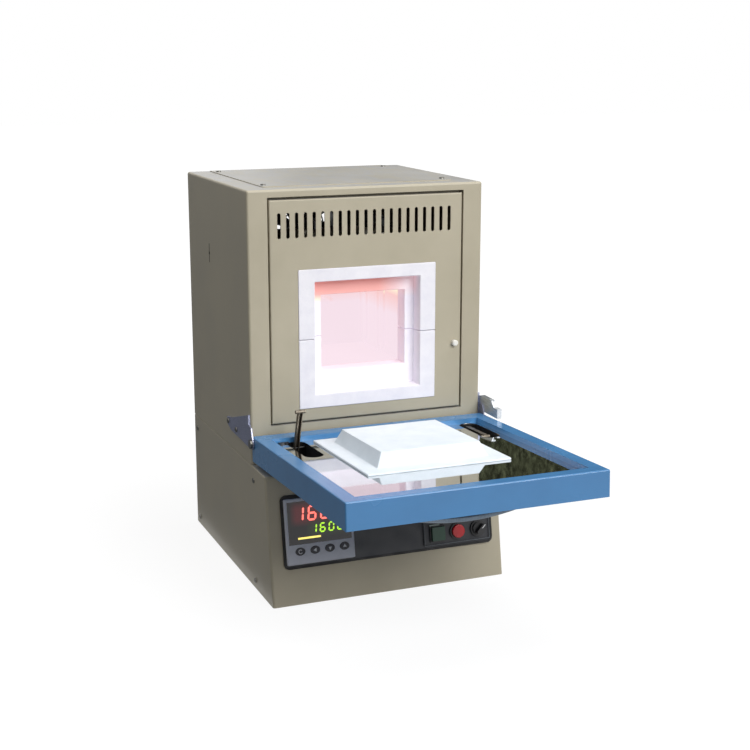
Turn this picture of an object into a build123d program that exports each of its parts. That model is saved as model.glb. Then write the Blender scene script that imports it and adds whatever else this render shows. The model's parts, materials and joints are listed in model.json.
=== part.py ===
"""Bench-top muffle furnace with a drop-down door, as an assembly of separate pieces.

Frame: millimetres, +Z up, +X to the right of someone facing the door, +Y towards the back.
The origin is on the table, half-way across the width, under the upper casing's front face.
"""
from build123d import *
import os
from math import atan, cos, degrees, hypot, radians, sin, sqrt, tan

os.makedirs("parts", exist_ok=True)

# ---------------------------------------------------------------- driving dimensions
# Casings
body_width = 352.5
upper_depth = 310.0
base_height = 180.0
upper_height = 385.2
sheet = 1.5
casing_radius = 3.5
casing_gap = 0.8             # the dark seam between the two casings
seam_radius = 2.0
ledge_length = 59.0          # how far the base's flat top runs out in front of the upper casing
foot_length = 90.0           # how far the base's foot runs out in front of the upper casing
flange_width = 14.0
fit_gap = 0.3

# Front panel and its opening in the upper casing
opening_width = 294.0
opening_bottom = base_height + 54.5
opening_top = base_height + 374.5
panel_gap = 2.2
panel_gap_top = 3.8
return_depth = 15.0
lip_width = 10.0
panel_edge_radius = 2.0
vent_count = 21
vent_pitch = 12.75
vent_width = 5.0
vent_bottom = opening_top - 57.0
vent_top = opening_top - 21.7
vent_offset = -3.0

# Door switch behind the front panel
plunger_x = opening_width / 2 - 12.3
plunger_z = base_height + 152.7
plunger_radius = 4.5
plunger_proud = 6.4
plunger_travel = 4.5
switch_block_width = 14.0
switch_block_height = 30.0
switch_block_depth = 11.8
switch_block_floor = 1.5

# Mouth blocks
mouth_width = 208.0
mouth_bottom = base_height + 74.8
mouth_top = mouth_bottom + 198.3
mouth_split = mouth_bottom + 99.2
mouth_seam = 0.8
mouth_proud = 1.2
mouth_depth = 46.2
rebate_width = 160.0
rebate_bottom = mouth_bottom + 19.2
rebate_top = mouth_top - 18.1
rebate_depth = 20.0
rebate_draft = 5.0

# Chamber, lining and insulation
chamber_width = 128.0
chamber_bottom = mouth_bottom + 49.2
chamber_height = 109.0
chamber_depth = 140.0
lining = 15.0
wall_insulation = 51.0
floor_insulation = 52.0
roof_insulation = 50.0
back_insulation = 50.0
front_insulation_start = 16.0
inner_sheet = 1.2

# Heating elements
hot_radius = 1.5
cold_radius = 3.0
element_spacing = 25.0
element_wall_gap = 12.0
element_floor_gap = 10.0
element_pitch = 70.0
leg_clearance = 1.0
clamp_size = 12.0
clamp_bottom = mouth_top + 46.9
clamp_height = 12.0
strap_thickness = 1.5

# Thermocouple
sheath_radius = 3.0
sheath_reach = 35.0
thermocouple_rise = 76.0
head_radius = 16.0
head_length = 22.0

# Top cover
cover_width = 286.0
cover_front = 32.0
cover_back = upper_depth - 6.0
cover_thickness = 1.2
cover_screw_x = cover_width / 2 - 7.0
cover_screw_front = 52.0
cover_screw_back = upper_depth - 32.0

# Rear covers and fan
rear_thickness = 1.2
rear_margin = 3.0
rear_slot_length = 60.0
rear_slot_width = 5.0
rear_slot_pitch = 14.0
rear_slot_rows = 8
fan_size = 119.0
fan_depth = 25.4
fan_bore_radius = 57.0
fan_height = 470.0
fan_hole_pitch = 105.0
fan_shaft_radius = 1.5
fan_hub_radius = 20.0
fan_blades = 7
guard_wire = 1.1
guard_standoff = 5.0
guard_rings = (14.0, 25.0, 36.0, 47.0, 58.0)
gland_x = 66.25 - body_width / 2
gland_height = 42.0
gland_bore_radius = 6.5

# Control strip on the base's sloping front, measured up the slope from the foot
strip_left = 19.2 - body_width / 2
strip_right = body_width / 2 - 15.2
strip_bottom = 51.0
strip_top = 154.0
strip_radius = 8.0
gasket_width = 3.0
gasket_height = 3.0
fascia_thickness = 2.0
controller_x = strip_left + 53.5
controller_rise = 103.0
bezel_width = 99.5
bezel_height = 92.0
bezel_thickness = 5.0
controller_body = 86.0
controller_length = 75.0
lens_width = 92.0
lens_height = 60.0
lens_rise = 115.0
lens_thickness = 1.2
key_width = 14.0
key_height = 11.0
key_pitch = 21.7
key_first_x = controller_x - 30.5
key_rise = 75.2
key_gap = 0.25
key_proud = 0.8
key_travel = 0.5
key_pocket = 3.0
switch_panel_left = strip_right - 108.0
switch_panel_right = strip_right - 5.5
switch_panel_bottom = 58.0
switch_panel_top = 98.0
switch_panel_thickness = 1.5
switch_rise = 74.0
green_x = strip_right - 87.0
red_x = strip_right - 55.5
selector_x = strip_right - 23.0
button_size = 20.4
button_gap = 0.3
button_proud = 3.5
button_travel = 2.0
button_floor = -6.0
button_stem = 12.0
collar_wall = 1.8
collar_height = 3.2
switch_body_radius = 11.0
switch_body_length = 42.0
knob_radius = 9.4
knob_stem_radius = 4.0
running_gap = 0.05

# Door: v runs from the rear edge to the free edge, w is height over the rim
door_rear_y = -5.0
door_rear_z = base_height + 44.0
door_rise_angle = 2.56
door_width = body_width + 1.5
door_length = 369.4
door_thickness = 35.4
door_edge_radius = 2.0
rim_side = 19.5
rim_front = 19.4
rim_rear = 29.0
rim_depth = 7.0
mirror_thickness = 1.0
mirror_overlap = 8.0
plug_flange_width = 202.0
plug_flange_start = 42.0
plug_flange_length = 206.0
plug_flange_thickness = 3.0
plug_base_width = 158.0
plug_base_length = 160.0
plug_height = 19.0
plug_slope = 9.0
plug_centre = 146.0
pocket_left_x = 52.0 - door_width / 2
pocket_right_x = door_width / 2 - 39.0
pocket_width = 27.0
pocket_start = 28.0
pocket_length = 97.0
pocket_depth = 22.0
pocket_wall = 1.0
handle_half = 100.0
handle_radius = 4.7
handle_standoff = 16.0
handle_setback = 43.0
handle_foot_radius = 8.0
handle_foot_height = 2.0

# Hinge and stay links
hinge_v = 5.9
hinge_w = -9.3
hinge_pin_radius = 3.0
hinge_bush_radius = 5.0
hinge_bush_length = 14.0
hinge_plate_thickness = 3.0
ear_clearance = 0.5
hinge_ear_radius = 7.5
hinge_plate_back = 110.0
hinge_plate_bottom = base_height + 27.0
hinge_plate_top = base_height + 73.0
hinge_tail_bottom = hinge_plate_bottom + 9.0
hinge_tail_top = hinge_tail_bottom + 9.5
link_left_x = pocket_left_x + 1.0
link_right_x = pocket_right_x + 2.5
link_v = 36.0
link_w = -14.0
link_length = 54.0
link_width = 6.5
link_depth = 7.0
link_sheet = 1.2
link_pin_radius = 1.5
link_lean = 9.0              # the raised link's lean back from upright
link_splay = 4.0             # and its lean towards the mouth
cross_pin_radius = 2.5
cross_pin_length = 14.0
bracket_front = -50.0
bracket_back = 38.0
bracket_bottom = base_height + 46.5
bracket_top = bracket_bottom + 22.5
bracket_sheet = 1.5
bracket_flange = 7.0

# Small screws
screw_radius = 2.0
screw_head_radius = 3.9
screw_head_height = 1.5
screw_length = 8.0

plate_screw_places = [(63.0, base_height + 37.0), (103.0, base_height + 40.5)]
base_screw_places = [(y, z) for y in (-9.0, upper_depth - 18.0) for z in (12.0, base_height - 19.0)]

# ---------------------------------------------------------------- worked-out places
half_width = body_width / 2
upper_top = base_height + upper_height
opening_height = opening_top - opening_bottom
opening_centre = (opening_top + opening_bottom) / 2
panel_width = opening_width - 2 * panel_gap
panel_height = opening_height - panel_gap - panel_gap_top
panel_centre = opening_bottom + panel_gap + panel_height / 2
panel_depth = return_depth - sheet
mouth_back = mouth_depth - mouth_proud
chamber_top = chamber_bottom + chamber_height
chamber_centre = (chamber_bottom + chamber_top) / 2
chamber_back = mouth_back + chamber_depth
lining_half = chamber_width / 2 + lining
lining_bottom = chamber_bottom - lining
lining_top = chamber_top + lining
lining_back = chamber_back + lining
pack_half = lining_half + wall_insulation
pack_bottom = lining_bottom - floor_insulation
pack_top = lining_top + roof_insulation
pack_back = lining_back + back_insulation
element_x = chamber_width / 2 - element_wall_gap
element_centres = [(mouth_back + chamber_back) / 2 + k * element_pitch / 2 for k in (-1, 1)]
leg_places = [(side * element_x, centre + k * element_spacing / 2)
              for side in (-1, 1) for centre in element_centres for k in (-1, 1)]
thermocouple_z = chamber_bottom + thermocouple_rise
slope_angle = degrees(atan((foot_length - ledge_length) / base_height))
slope_length = hypot(foot_length - ledge_length, base_height)
door_half = door_width / 2
rear_y = upper_depth + rear_thickness
rear_screw_x = half_width - flange_width / 2
rear_screw_places = [(x, z) for x in (-rear_screw_x, rear_screw_x)
                     for z in (base_height + 2 * flange_width, (base_height + upper_top) / 2,
                               upper_top - 2 * flange_width)]
base_rear_screws = [(x, z) for x in (-rear_screw_x, rear_screw_x)
                    for z in (1.5 * flange_width, base_height - 1.5 * flange_width)]


def front_at(y):
    """Upright plane facing the front at depth y; its local axes are X and Z."""
    return Plane.XZ.offset(-y)


def side_at(x):
    """Upright plane across the width at x; its local axes are Y and Z."""
    return Plane.YZ.offset(x)


def door_point(x, v, w):
    """Place on the door in the row's frame, from its width, length and height."""
    rise = radians(door_rise_angle)
    y = door_rear_y - v * cos(rise) + w * sin(rise)
    z = door_rear_z + v * sin(rise) + w * cos(rise)
    return Vector(x, y, z)


door_normal = (0, sin(radians(door_rise_angle)), cos(radians(door_rise_angle)))
door_plane = Plane(origin=door_point(0, 0, 0), x_dir=(1, 0, 0), z_dir=door_normal)
slope_normal = (0, -cos(radians(slope_angle)), sin(radians(slope_angle)))
slope_plane = Plane(origin=(0, -foot_length, 0), x_dir=(1, 0, 0), z_dir=slope_normal)
hinge_point = door_point(0, hinge_v, hinge_w)


def save(builder, name):
    """Label a finished piece and write its STEP file."""
    builder.part.label = name
    export_step(builder.part, f"parts/{name}.step")


# ---------------------------------------------------------------- upper casing
with BuildPart() as upper_casing:
    with BuildSketch(Plane.XY.offset(base_height + casing_gap)):
        with Locations((0, upper_depth / 2)):
            Rectangle(body_width, upper_depth)
    extrude(amount=upper_height - casing_gap)
    outside = upper_casing.edges()
    top_edges = outside.group_by(Axis.Z)[-1].filter_by_position(Axis.Y, -1, upper_depth - 1)
    front_edges = outside.filter_by(Axis.Z).group_by(Axis.Y)[0]
    fillet(top_edges + front_edges, casing_radius)
    with BuildSketch(Plane.XY.offset(base_height)):
        with Locations((0, sheet + upper_depth / 2)):
            Rectangle(body_width - 2 * sheet, upper_depth)
    extrude(amount=upper_height - sheet, mode=Mode.SUBTRACT)
    with BuildSketch(front_at(0)):
        with Locations((0, opening_centre)):
            Rectangle(opening_width, opening_height)
    extrude(amount=-return_depth, mode=Mode.SUBTRACT)
    # the opening's folded return, with a lip at its back that carries the front panel
    with BuildSketch(front_at(sheet)):
        with Locations((0, opening_centre)):
            Rectangle(opening_width + 2 * sheet, opening_height + 2 * sheet)
            Rectangle(opening_width, opening_height, mode=Mode.SUBTRACT)
    extrude(amount=sheet - return_depth)
    with BuildSketch(front_at(panel_depth)):
        with Locations((0, opening_centre)):
            Rectangle(opening_width + 2 * sheet, opening_height + 2 * sheet)
            Rectangle(opening_width - 2 * lip_width, opening_height - 2 * lip_width, mode=Mode.SUBTRACT)
    extrude(amount=-sheet)
    # the rear flange that the rear cover screws to
    with BuildSketch(front_at(upper_depth - sheet)):
        with Locations((0, (base_height + upper_top) / 2)):
            Rectangle(body_width - sheet, upper_height - 2 * casing_gap)
            Rectangle(body_width - 2 * flange_width, upper_height - 2 * flange_width, mode=Mode.SUBTRACT)
    extrude(amount=-sheet)
    # the hatch under the top cover, and the cover's screw holes
    with BuildSketch(Plane.XY.offset(upper_top)):
        with Locations((0, (cover_front + cover_back) / 2)):
            Rectangle(2 * (cover_screw_x - flange_width), cover_back - cover_front - 2 * flange_width)
        with Locations([(x, y) for x in (-cover_screw_x, cover_screw_x)
                        for y in (cover_screw_front, cover_screw_back)]):
            Circle(screw_radius)
    extrude(amount=-2 * sheet, mode=Mode.SUBTRACT)
    with BuildSketch(front_at(upper_depth)):
        with Locations(rear_screw_places):
            Circle(screw_radius)
    extrude(amount=2 * sheet, mode=Mode.SUBTRACT)
    with BuildSketch(side_at(0)):
        with Locations(plate_screw_places):
            Circle(screw_radius)
    extrude(amount=half_width, both=True, mode=Mode.SUBTRACT)
save(upper_casing, "upper_casing")

# ---------------------------------------------------------------- front panel
with BuildPart() as front_panel:
    with BuildSketch(front_at(0)):
        with Locations((0, panel_centre)):
            Rectangle(panel_width, panel_height)
    extrude(amount=-panel_depth)
    fillet(front_panel.faces().sort_by(Axis.Y)[0].edges(), panel_edge_radius)
    with BuildSketch(front_at(sheet)):
        with Locations((0, panel_centre)):
            Rectangle(panel_width - 2 * sheet, panel_height - 2 * sheet)
    extrude(amount=-panel_depth, mode=Mode.SUBTRACT)
    with BuildSketch(front_at(0)):
        with Locations((0, (mouth_bottom + mouth_top) / 2)):
            Rectangle(mouth_width + 2 * fit_gap, mouth_top - mouth_bottom + 2 * fit_gap)
        with Locations((vent_offset, (vent_bottom + vent_top) / 2)):
            with GridLocations(vent_pitch, 1, vent_count, 1):
                SlotOverall(vent_top - vent_bottom, vent_width, rotation=90)
    extrude(amount=-2 * sheet, mode=Mode.SUBTRACT)
    with BuildSketch(front_at(0)):
        with Locations((plunger_x, plunger_z)):
            Circle(plunger_radius + fit_gap)
    extrude(amount=-2 * sheet, mode=Mode.SUBTRACT)
save(front_panel, "front_panel")

# ---------------------------------------------------------------- mouth blocks
seam_half = mouth_seam / 2
for block_name, low, high in (("mouth_block_lower", mouth_bottom, mouth_split - seam_half),
                              ("mouth_block_upper", mouth_split + seam_half, mouth_top)):
    with BuildPart() as mouth_block:
        with BuildSketch(front_at(-mouth_proud)):
            with Locations((0, (low + high) / 2)):
                Rectangle(mouth_width, high - low)
        extrude(amount=-mouth_depth)
        # the drafted rebate that the door's plug closes into
        with BuildSketch(front_at(-mouth_proud)):
            with Locations((0, (rebate_bottom + rebate_top) / 2)):
                Rectangle(rebate_width, rebate_top - rebate_bottom)
        extrude(amount=-rebate_depth, taper=rebate_draft, mode=Mode.SUBTRACT)
        with BuildSketch(front_at(-mouth_proud)):
            with Locations((0, chamber_centre)):
                Rectangle(chamber_width, chamber_height)
        extrude(amount=-mouth_depth, mode=Mode.SUBTRACT)
    save(mouth_block, block_name)

# ---------------------------------------------------------------- chamber lining
with BuildPart() as chamber_walls:
    with BuildSketch(Plane.XY.offset(chamber_bottom)):
        with Locations((0, (mouth_back + lining_back) / 2)):
            Rectangle(2 * lining_half, lining_back - mouth_back)
        with Locations((0, (mouth_back + chamber_back) / 2)):
            Rectangle(chamber_width, chamber_depth, mode=Mode.SUBTRACT)
    extrude(amount=chamber_height)
    with BuildSketch(front_at(chamber_back - 1)):
        with Locations((0, thermocouple_z)):
            Circle(sheath_radius + fit_gap)
    extrude(amount=-2 * lining, mode=Mode.SUBTRACT)
save(chamber_walls, "chamber_walls")

with BuildPart() as chamber_floor:
    with BuildSketch(Plane.XY.offset(lining_bottom)):
        with Locations((0, (mouth_back + lining_back) / 2)):
            Rectangle(2 * lining_half, lining_back - mouth_back)
    extrude(amount=lining)
save(chamber_floor, "chamber_floor")

with BuildPart() as chamber_roof:
    with BuildSketch(Plane.XY.offset(chamber_top)):
        with Locations((0, (mouth_back + lining_back) / 2)):
            Rectangle(2 * lining_half, lining_back - mouth_back)
        with Locations(leg_places):
            Circle(cold_radius + leg_clearance, mode=Mode.SUBTRACT)
    extrude(amount=lining)
save(chamber_roof, "chamber_roof")

# ---------------------------------------------------------------- fibre insulation
front_board_centre = (front_insulation_start + mouth_back) / 2
front_board_depth = mouth_back - front_insulation_start
pack_centre = (mouth_back + pack_back) / 2
pack_depth = pack_back - mouth_back

with BuildPart() as insulation_floor:
    with BuildSketch(Plane.XY.offset(pack_bottom)):
        with Locations((0, pack_centre)):
            Rectangle(2 * pack_half, pack_depth)
    extrude(amount=floor_insulation)
    with BuildSketch(Plane.XY.offset(pack_bottom)):
        with Locations((0, front_board_centre)):
            Rectangle(2 * pack_half, front_board_depth)
    extrude(amount=mouth_bottom - pack_bottom)
save(insulation_floor, "insulation_floor")

with BuildPart() as insulation_roof:
    with BuildSketch(Plane.XY.offset(lining_top)):
        with Locations((0, pack_centre)):
            Rectangle(2 * pack_half, pack_depth)
        with Locations(leg_places):
            Circle(cold_radius + leg_clearance, mode=Mode.SUBTRACT)
    extrude(amount=roof_insulation)
    with BuildSketch(Plane.XY.offset(mouth_top)):
        with Locations((0, front_board_centre)):
            Rectangle(2 * pack_half, front_board_depth)
    extrude(amount=pack_top - mouth_top)
save(insulation_roof, "insulation_roof")

with BuildPart() as insulation_walls:
    with BuildSketch(Plane.XY.offset(lining_bottom)):
        for side in (-1, 1):
            with Locations((side * (lining_half + pack_half) / 2, pack_centre)):
                Rectangle(wall_insulation, pack_depth)
        with Locations((0, (lining_back + pack_back) / 2)):
            Rectangle(2 * lining_half, back_insulation)
    extrude(amount=lining_top - lining_bottom)
    with BuildSketch(Plane.XY.offset(mouth_bottom)):
        for side in (-1, 1):
            with Locations((side * (mouth_width / 2 + pack_half) / 2, front_board_centre)):
                Rectangle(pack_half - mouth_width / 2, front_board_depth)
    extrude(amount=mouth_top - mouth_bottom)
    with BuildSketch(front_at(lining_back - 1)):
        with Locations((0, thermocouple_z)):
            Circle(sheath_radius + fit_gap)
    extrude(amount=-(back_insulation + 2), mode=Mode.SUBTRACT)
save(insulation_walls, "insulation_walls")

# ---------------------------------------------------------------- inner shell on its stand
with BuildPart() as inner_shell:
    with BuildSketch(Plane.XY.offset(pack_bottom - inner_sheet)):
        with Locations((0, (front_insulation_start + pack_back + inner_sheet) / 2)):
            Rectangle(2 * (pack_half + inner_sheet), pack_back + inner_sheet - front_insulation_start)
    extrude(amount=pack_top - pack_bottom + inner_sheet)
    with BuildSketch(Plane.XY.offset(pack_bottom)):
        with Locations((0, (front_insulation_start + pack_back) / 2)):
            Rectangle(2 * pack_half, pack_back - front_insulation_start)
        with Locations((0, front_insulation_start)):
            Rectangle(2 * pack_half, 2)
    extrude(amount=pack_top - pack_bottom, mode=Mode.SUBTRACT)
    with BuildSketch(front_at(pack_back - 1)):
        with Locations((0, thermocouple_z)):
            Circle(sheath_radius + fit_gap)
    extrude(amount=-2 * inner_sheet, mode=Mode.SUBTRACT)
    # two channels carry the shell above the base's deck
    stand_height = pack_bottom - inner_sheet - base_height
    with BuildSketch(front_at(front_insulation_start + flange_width)):
        for side in (-1, 1):
            with Locations((side * (pack_half - 2 * flange_width), base_height + stand_height / 2)):
                Rectangle(2 * flange_width, stand_height)
                Rectangle(2 * flange_width - 2 * sheet, stand_height - 2 * sheet, mode=Mode.SUBTRACT)
    extrude(amount=-(pack_back - front_insulation_start - 2 * flange_width))
save(inner_shell, "inner_shell")

# ---------------------------------------------------------------- heating elements
bend_radius = element_spacing / 2
bend_z = chamber_bottom + element_floor_gap + bend_radius
cold_bottom = chamber_top + 2
with BuildPart() as heating_elements:
    for side in (-1, 1):
        for centre in element_centres:
            with BuildLine(side_at(side * element_x)) as hot_line:
                Line((centre - bend_radius, cold_bottom), (centre - bend_radius, bend_z))
                RadiusArc((centre - bend_radius, bend_z), (centre + bend_radius, bend_z), -bend_radius)
                Line((centre + bend_radius, bend_z), (centre + bend_radius, cold_bottom))
            with BuildSketch(Plane.XY.offset(cold_bottom)):
                with Locations((side * element_x, centre - bend_radius)):
                    Circle(hot_radius)
            sweep(path=hot_line.wires()[0])
    with BuildSketch(Plane.XY.offset(cold_bottom)):
        with Locations(leg_places):
            Circle(cold_radius)
    extrude(amount=clamp_bottom + clamp_height - cold_bottom)
save(heating_elements, "heating_elements")

with BuildPart() as element_holders:
    with BuildSketch(Plane.XY.offset(pack_top)):
        with Locations([(side * element_x, centre) for side in (-1, 1) for centre in element_centres]):
            RectangleRounded(clamp_size + 4, element_spacing + clamp_size + 4, 3)
        with Locations(leg_places):
            Circle(cold_radius + running_gap, mode=Mode.SUBTRACT)
    extrude(amount=clamp_size)
save(element_holders, "element_holders")

with BuildPart() as element_leads:
    with BuildSketch(Plane.XY.offset(clamp_bottom)):
        with Locations(leg_places):
            Rectangle(clamp_size, clamp_size)
            Circle(cold_radius + running_gap, mode=Mode.SUBTRACT)
    extrude(amount=clamp_height)
    # flat straps join the four elements in series
    with BuildSketch(Plane.XY.offset(clamp_bottom + clamp_height)):
        for side in (-1, 1):
            with Locations((side * element_x, sum(element_centres) / 2)):
                Rectangle(clamp_size, element_pitch - element_spacing + clamp_size)
        with Locations((0, element_centres[1] + element_spacing / 2)):
            Rectangle(2 * element_x + clamp_size, clamp_size)
    extrude(amount=strap_thickness)
save(element_leads, "element_leads")

# ---------------------------------------------------------------- thermocouple
with BuildPart() as thermocouple:
    with BuildSketch(front_at(chamber_back - sheath_reach)):
        with Locations((0, thermocouple_z)):
            Circle(sheath_radius)
    extrude(amount=-(pack_back + inner_sheet + 2 - chamber_back + sheath_reach))
    fillet(thermocouple.faces().sort_by(Axis.Y)[0].edges(), sheath_radius * 0.9)
    with BuildSketch(front_at(pack_back + inner_sheet)):
        with Locations((0, thermocouple_z)):
            Circle(head_radius)
    extrude(amount=-head_length)
    fillet(thermocouple.faces().sort_by(Axis.Y)[-1].edges(), 2)
save(thermocouple, "thermocouple")


def pan_screws(planes):
    """Cross-recessed pan-head screws, one standing on each plane, all in one node."""
    with BuildPart() as screws:
        for plane in planes:
            with BuildSketch(plane):
                Circle(screw_head_radius)
            extrude(amount=screw_head_height, taper=12)
            with BuildSketch(plane.offset(screw_head_height)):
                Rectangle(screw_head_radius, 0.8)
                Rectangle(0.8, screw_head_radius)
            extrude(amount=-screw_head_height / 2, mode=Mode.SUBTRACT)
            with BuildSketch(plane):
                Circle(screw_radius)
            extrude(amount=-screw_length)
    return screws


# ---------------------------------------------------------------- top cover
cover_top = upper_top + cover_thickness
cover_screw_places = [(x, y) for x in (-cover_screw_x, cover_screw_x)
                      for y in (cover_screw_front, cover_screw_back)]
with BuildPart() as top_cover:
    with BuildSketch(Plane.XY.offset(upper_top)):
        with Locations((0, (cover_front + cover_back) / 2)):
            RectangleRounded(cover_width, cover_back - cover_front, 3)
        with Locations(cover_screw_places):
            Circle(screw_radius, mode=Mode.SUBTRACT)
    extrude(amount=cover_thickness)
save(top_cover, "top_cover")
save(pan_screws([Plane(origin=(x, y, cover_top)) for x, y in cover_screw_places]), "top_cover_screws")

# ---------------------------------------------------------------- rear cover, fan and guard
cover_middle = (base_height + upper_top) / 2
cover_tall = upper_height - 2 * rear_margin
fan_holes = GridLocations(fan_hole_pitch, fan_hole_pitch, 2, 2).locations
fan_screw_places = [(hole.position.X, fan_height + hole.position.Y) for hole in fan_holes]
with BuildPart() as rear_cover:
    with BuildSketch(front_at(upper_depth)):
        with Locations((0, cover_middle)):
            RectangleRounded(body_width - 2 * rear_margin, cover_tall, 2)
        with Locations((0, fan_height)):
            Circle(fan_bore_radius, mode=Mode.SUBTRACT)
        with Locations(fan_screw_places + rear_screw_places):
            Circle(screw_radius, mode=Mode.SUBTRACT)
        with Locations((0, (base_height + pack_bottom) / 2 + rear_slot_rows * rear_slot_pitch / 2)):
            with GridLocations(2 * rear_slot_length, rear_slot_pitch, 2, rear_slot_rows):
                SlotOverall(rear_slot_length, rear_slot_width, mode=Mode.SUBTRACT)
    extrude(amount=-rear_thickness)
save(rear_cover, "rear_cover")


def rear_screws(places):
    """Screw planes that face backwards from the rear covers."""
    return [Plane(origin=(x, rear_y, z), x_dir=(1, 0, 0), z_dir=(0, 1, 0)) for x, z in places]


with BuildPart() as fan_housing:
    with BuildSketch(front_at(upper_depth - fan_depth)):
        with Locations((0, fan_height)):
            RectangleRounded(fan_size, fan_size, 6)
            Circle(fan_bore_radius, mode=Mode.SUBTRACT)
        with Locations(fan_screw_places):
            Circle(screw_radius, mode=Mode.SUBTRACT)
    extrude(amount=-fan_depth)
    # the motor's disc on its four struts, with the rotor's shaft
    with BuildSketch(front_at(upper_depth - 4)):
        with Locations((0, fan_height)):
            Circle(fan_hub_radius)
            Rectangle(2 * fan_bore_radius + 3, 6, rotation=30)
            Rectangle(2 * fan_bore_radius + 3, 6, rotation=120)
    extrude(amount=-4)
    with BuildSketch(front_at(upper_depth - fan_depth + 2)):
        with Locations((0, fan_height)):
            Circle(fan_shaft_radius)
    extrude(amount=2 - fan_depth)
save(fan_housing, "fan_housing")

rotor_front = upper_depth - fan_depth + 3
rotor_back = upper_depth - 5
rotor_middle = (rotor_front + rotor_back) / 2
with BuildPart() as fan_rotor:
    with BuildSketch(front_at(rotor_front)):
        with Locations((0, fan_height)):
            Circle(fan_hub_radius)
            Circle(fan_shaft_radius + running_gap, mode=Mode.SUBTRACT)
    extrude(amount=rotor_front - rotor_back)
    for k in range(fan_blades):
        turn = 360 * k / fan_blades
        blade_out = Vector(cos(radians(turn)), 0, sin(radians(turn)))
        blade_across = Vector(-sin(radians(turn)), 0, cos(radians(turn)))
        hub_centre = Vector(0, rotor_middle, fan_height)
        for reach, chord, thickness, pitch in ((fan_hub_radius - 2, 17, 2.2, 52),
                                               (fan_bore_radius - 2, 25, 1.4, 28)):
            across = blade_across * cos(radians(pitch)) + Vector(0, 1, 0) * sin(radians(pitch))
            root = Plane(origin=hub_centre + blade_out * reach, x_dir=across, z_dir=blade_out)
            with BuildSketch(root):
                Rectangle(chord, thickness)
        loft()
save(fan_rotor, "fan_rotor")

guard_y = rear_y + guard_standoff
ring_y = guard_y - guard_wire
guard_corner = fan_hole_pitch / 2 * sqrt(2)
arm_y = ring_y - 1.4 * guard_wire
with BuildPart() as fan_guard:
    with Locations(Plane(origin=(0, ring_y, fan_height), x_dir=(1, 0, 0), z_dir=(0, 1, 0))):
        for ring in guard_rings:
            Torus(ring, guard_wire)
    for k in range(4):
        corner = radians(45 + 90 * k)
        outwards = Vector(cos(corner), 0, sin(corner))
        with BuildSketch(Plane(origin=Vector(0, arm_y, fan_height) + outwards * (guard_rings[0] - 3), z_dir=outwards)):
            Circle(guard_wire)
        extrude(amount=guard_corner - guard_rings[0] + 3 - 1.5 * screw_radius)
        foot = Vector(0, rear_y, fan_height) + outwards * guard_corner
        with BuildSketch(Plane(origin=foot, x_dir=(1, 0, 0), z_dir=(0, 1, 0))):
            Circle(screw_head_radius)
            Circle(screw_radius, mode=Mode.SUBTRACT)
        extrude(amount=guard_standoff)
save(fan_guard, "fan_guard")
guard_screws = [Plane(origin=(x, guard_y, z), x_dir=(1, 0, 0), z_dir=(0, 1, 0)) for x, z in fan_screw_places]

# ---------------------------------------------------------------- base casing
with BuildPart() as base_casing:
    with BuildSketch(side_at(-half_width)):
        with BuildLine():
            Polyline((-foot_length, 0), (upper_depth, 0), (upper_depth, base_height),
                     (-ledge_length, base_height), (-foot_length, 0))
        make_face()
    extrude(amount=body_width)
    outside = base_casing.edges()
    ledge_edge = outside.group_by(Axis.Z)[-1].sort_by(Axis.Y)[0]
    slope_face = base_casing.faces().sort_by(Axis.Y)[0]
    fillet(slope_face.edges().filter_by(Axis.X, reverse=True) + [ledge_edge], casing_radius)
    fillet(base_casing.edges().group_by(Axis.Z)[-1].filter_by(Axis.Y), seam_radius)
    wall = sheet / cos(radians(slope_angle))
    with BuildSketch(side_at(-half_width + sheet)):
        with BuildLine():
            Polyline((-foot_length + wall, 0), (upper_depth, 0), (upper_depth, base_height - sheet),
                     (-ledge_length + wall - sheet * tan(radians(slope_angle)), base_height - sheet),
                     (-foot_length + wall, 0))
        make_face()
    extrude(amount=body_width - 2 * sheet, mode=Mode.SUBTRACT)
    with BuildSketch(front_at(upper_depth - sheet)):
        with Locations((0, base_height / 2)):
            Rectangle(body_width - sheet, base_height)
            Rectangle(body_width - 2 * flange_width, base_height - 2 * flange_width, mode=Mode.SUBTRACT)
    extrude(amount=-sheet)
    with BuildSketch(slope_plane.offset(1)):
        with Locations((controller_x, controller_rise)):
            Rectangle(controller_body + 2 * fit_gap, controller_body + 2 * fit_gap)
        with Locations([(x, switch_rise) for x in (green_x, red_x, selector_x)]):
            Circle(switch_body_radius + fit_gap)
    extrude(amount=-2 * sheet - 1, mode=Mode.SUBTRACT)
    with BuildSketch(front_at(upper_depth)):
        with Locations(base_rear_screws):
            Circle(screw_radius)
    extrude(amount=2 * sheet, mode=Mode.SUBTRACT)
    with BuildSketch(side_at(0)):
        with Locations(base_screw_places):
            Circle(screw_radius)
    extrude(amount=half_width, both=True, mode=Mode.SUBTRACT)
save(base_casing, "base_casing")

with BuildPart() as base_pan:
    with BuildSketch(Plane.XY):
        with Locations((0, (upper_depth - sheet - foot_length + wall) / 2)):
            Rectangle(body_width - 2 * sheet, upper_depth - sheet + foot_length - wall)
        with GridLocations(2 * rear_slot_length, rear_slot_pitch, 2, 5):
            SlotOverall(rear_slot_length, rear_slot_width, mode=Mode.SUBTRACT)
    extrude(amount=sheet)
    split(bisect_by=slope_plane.offset(-sheet), keep=Keep.BOTTOM)
save(base_pan, "base_pan")

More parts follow.
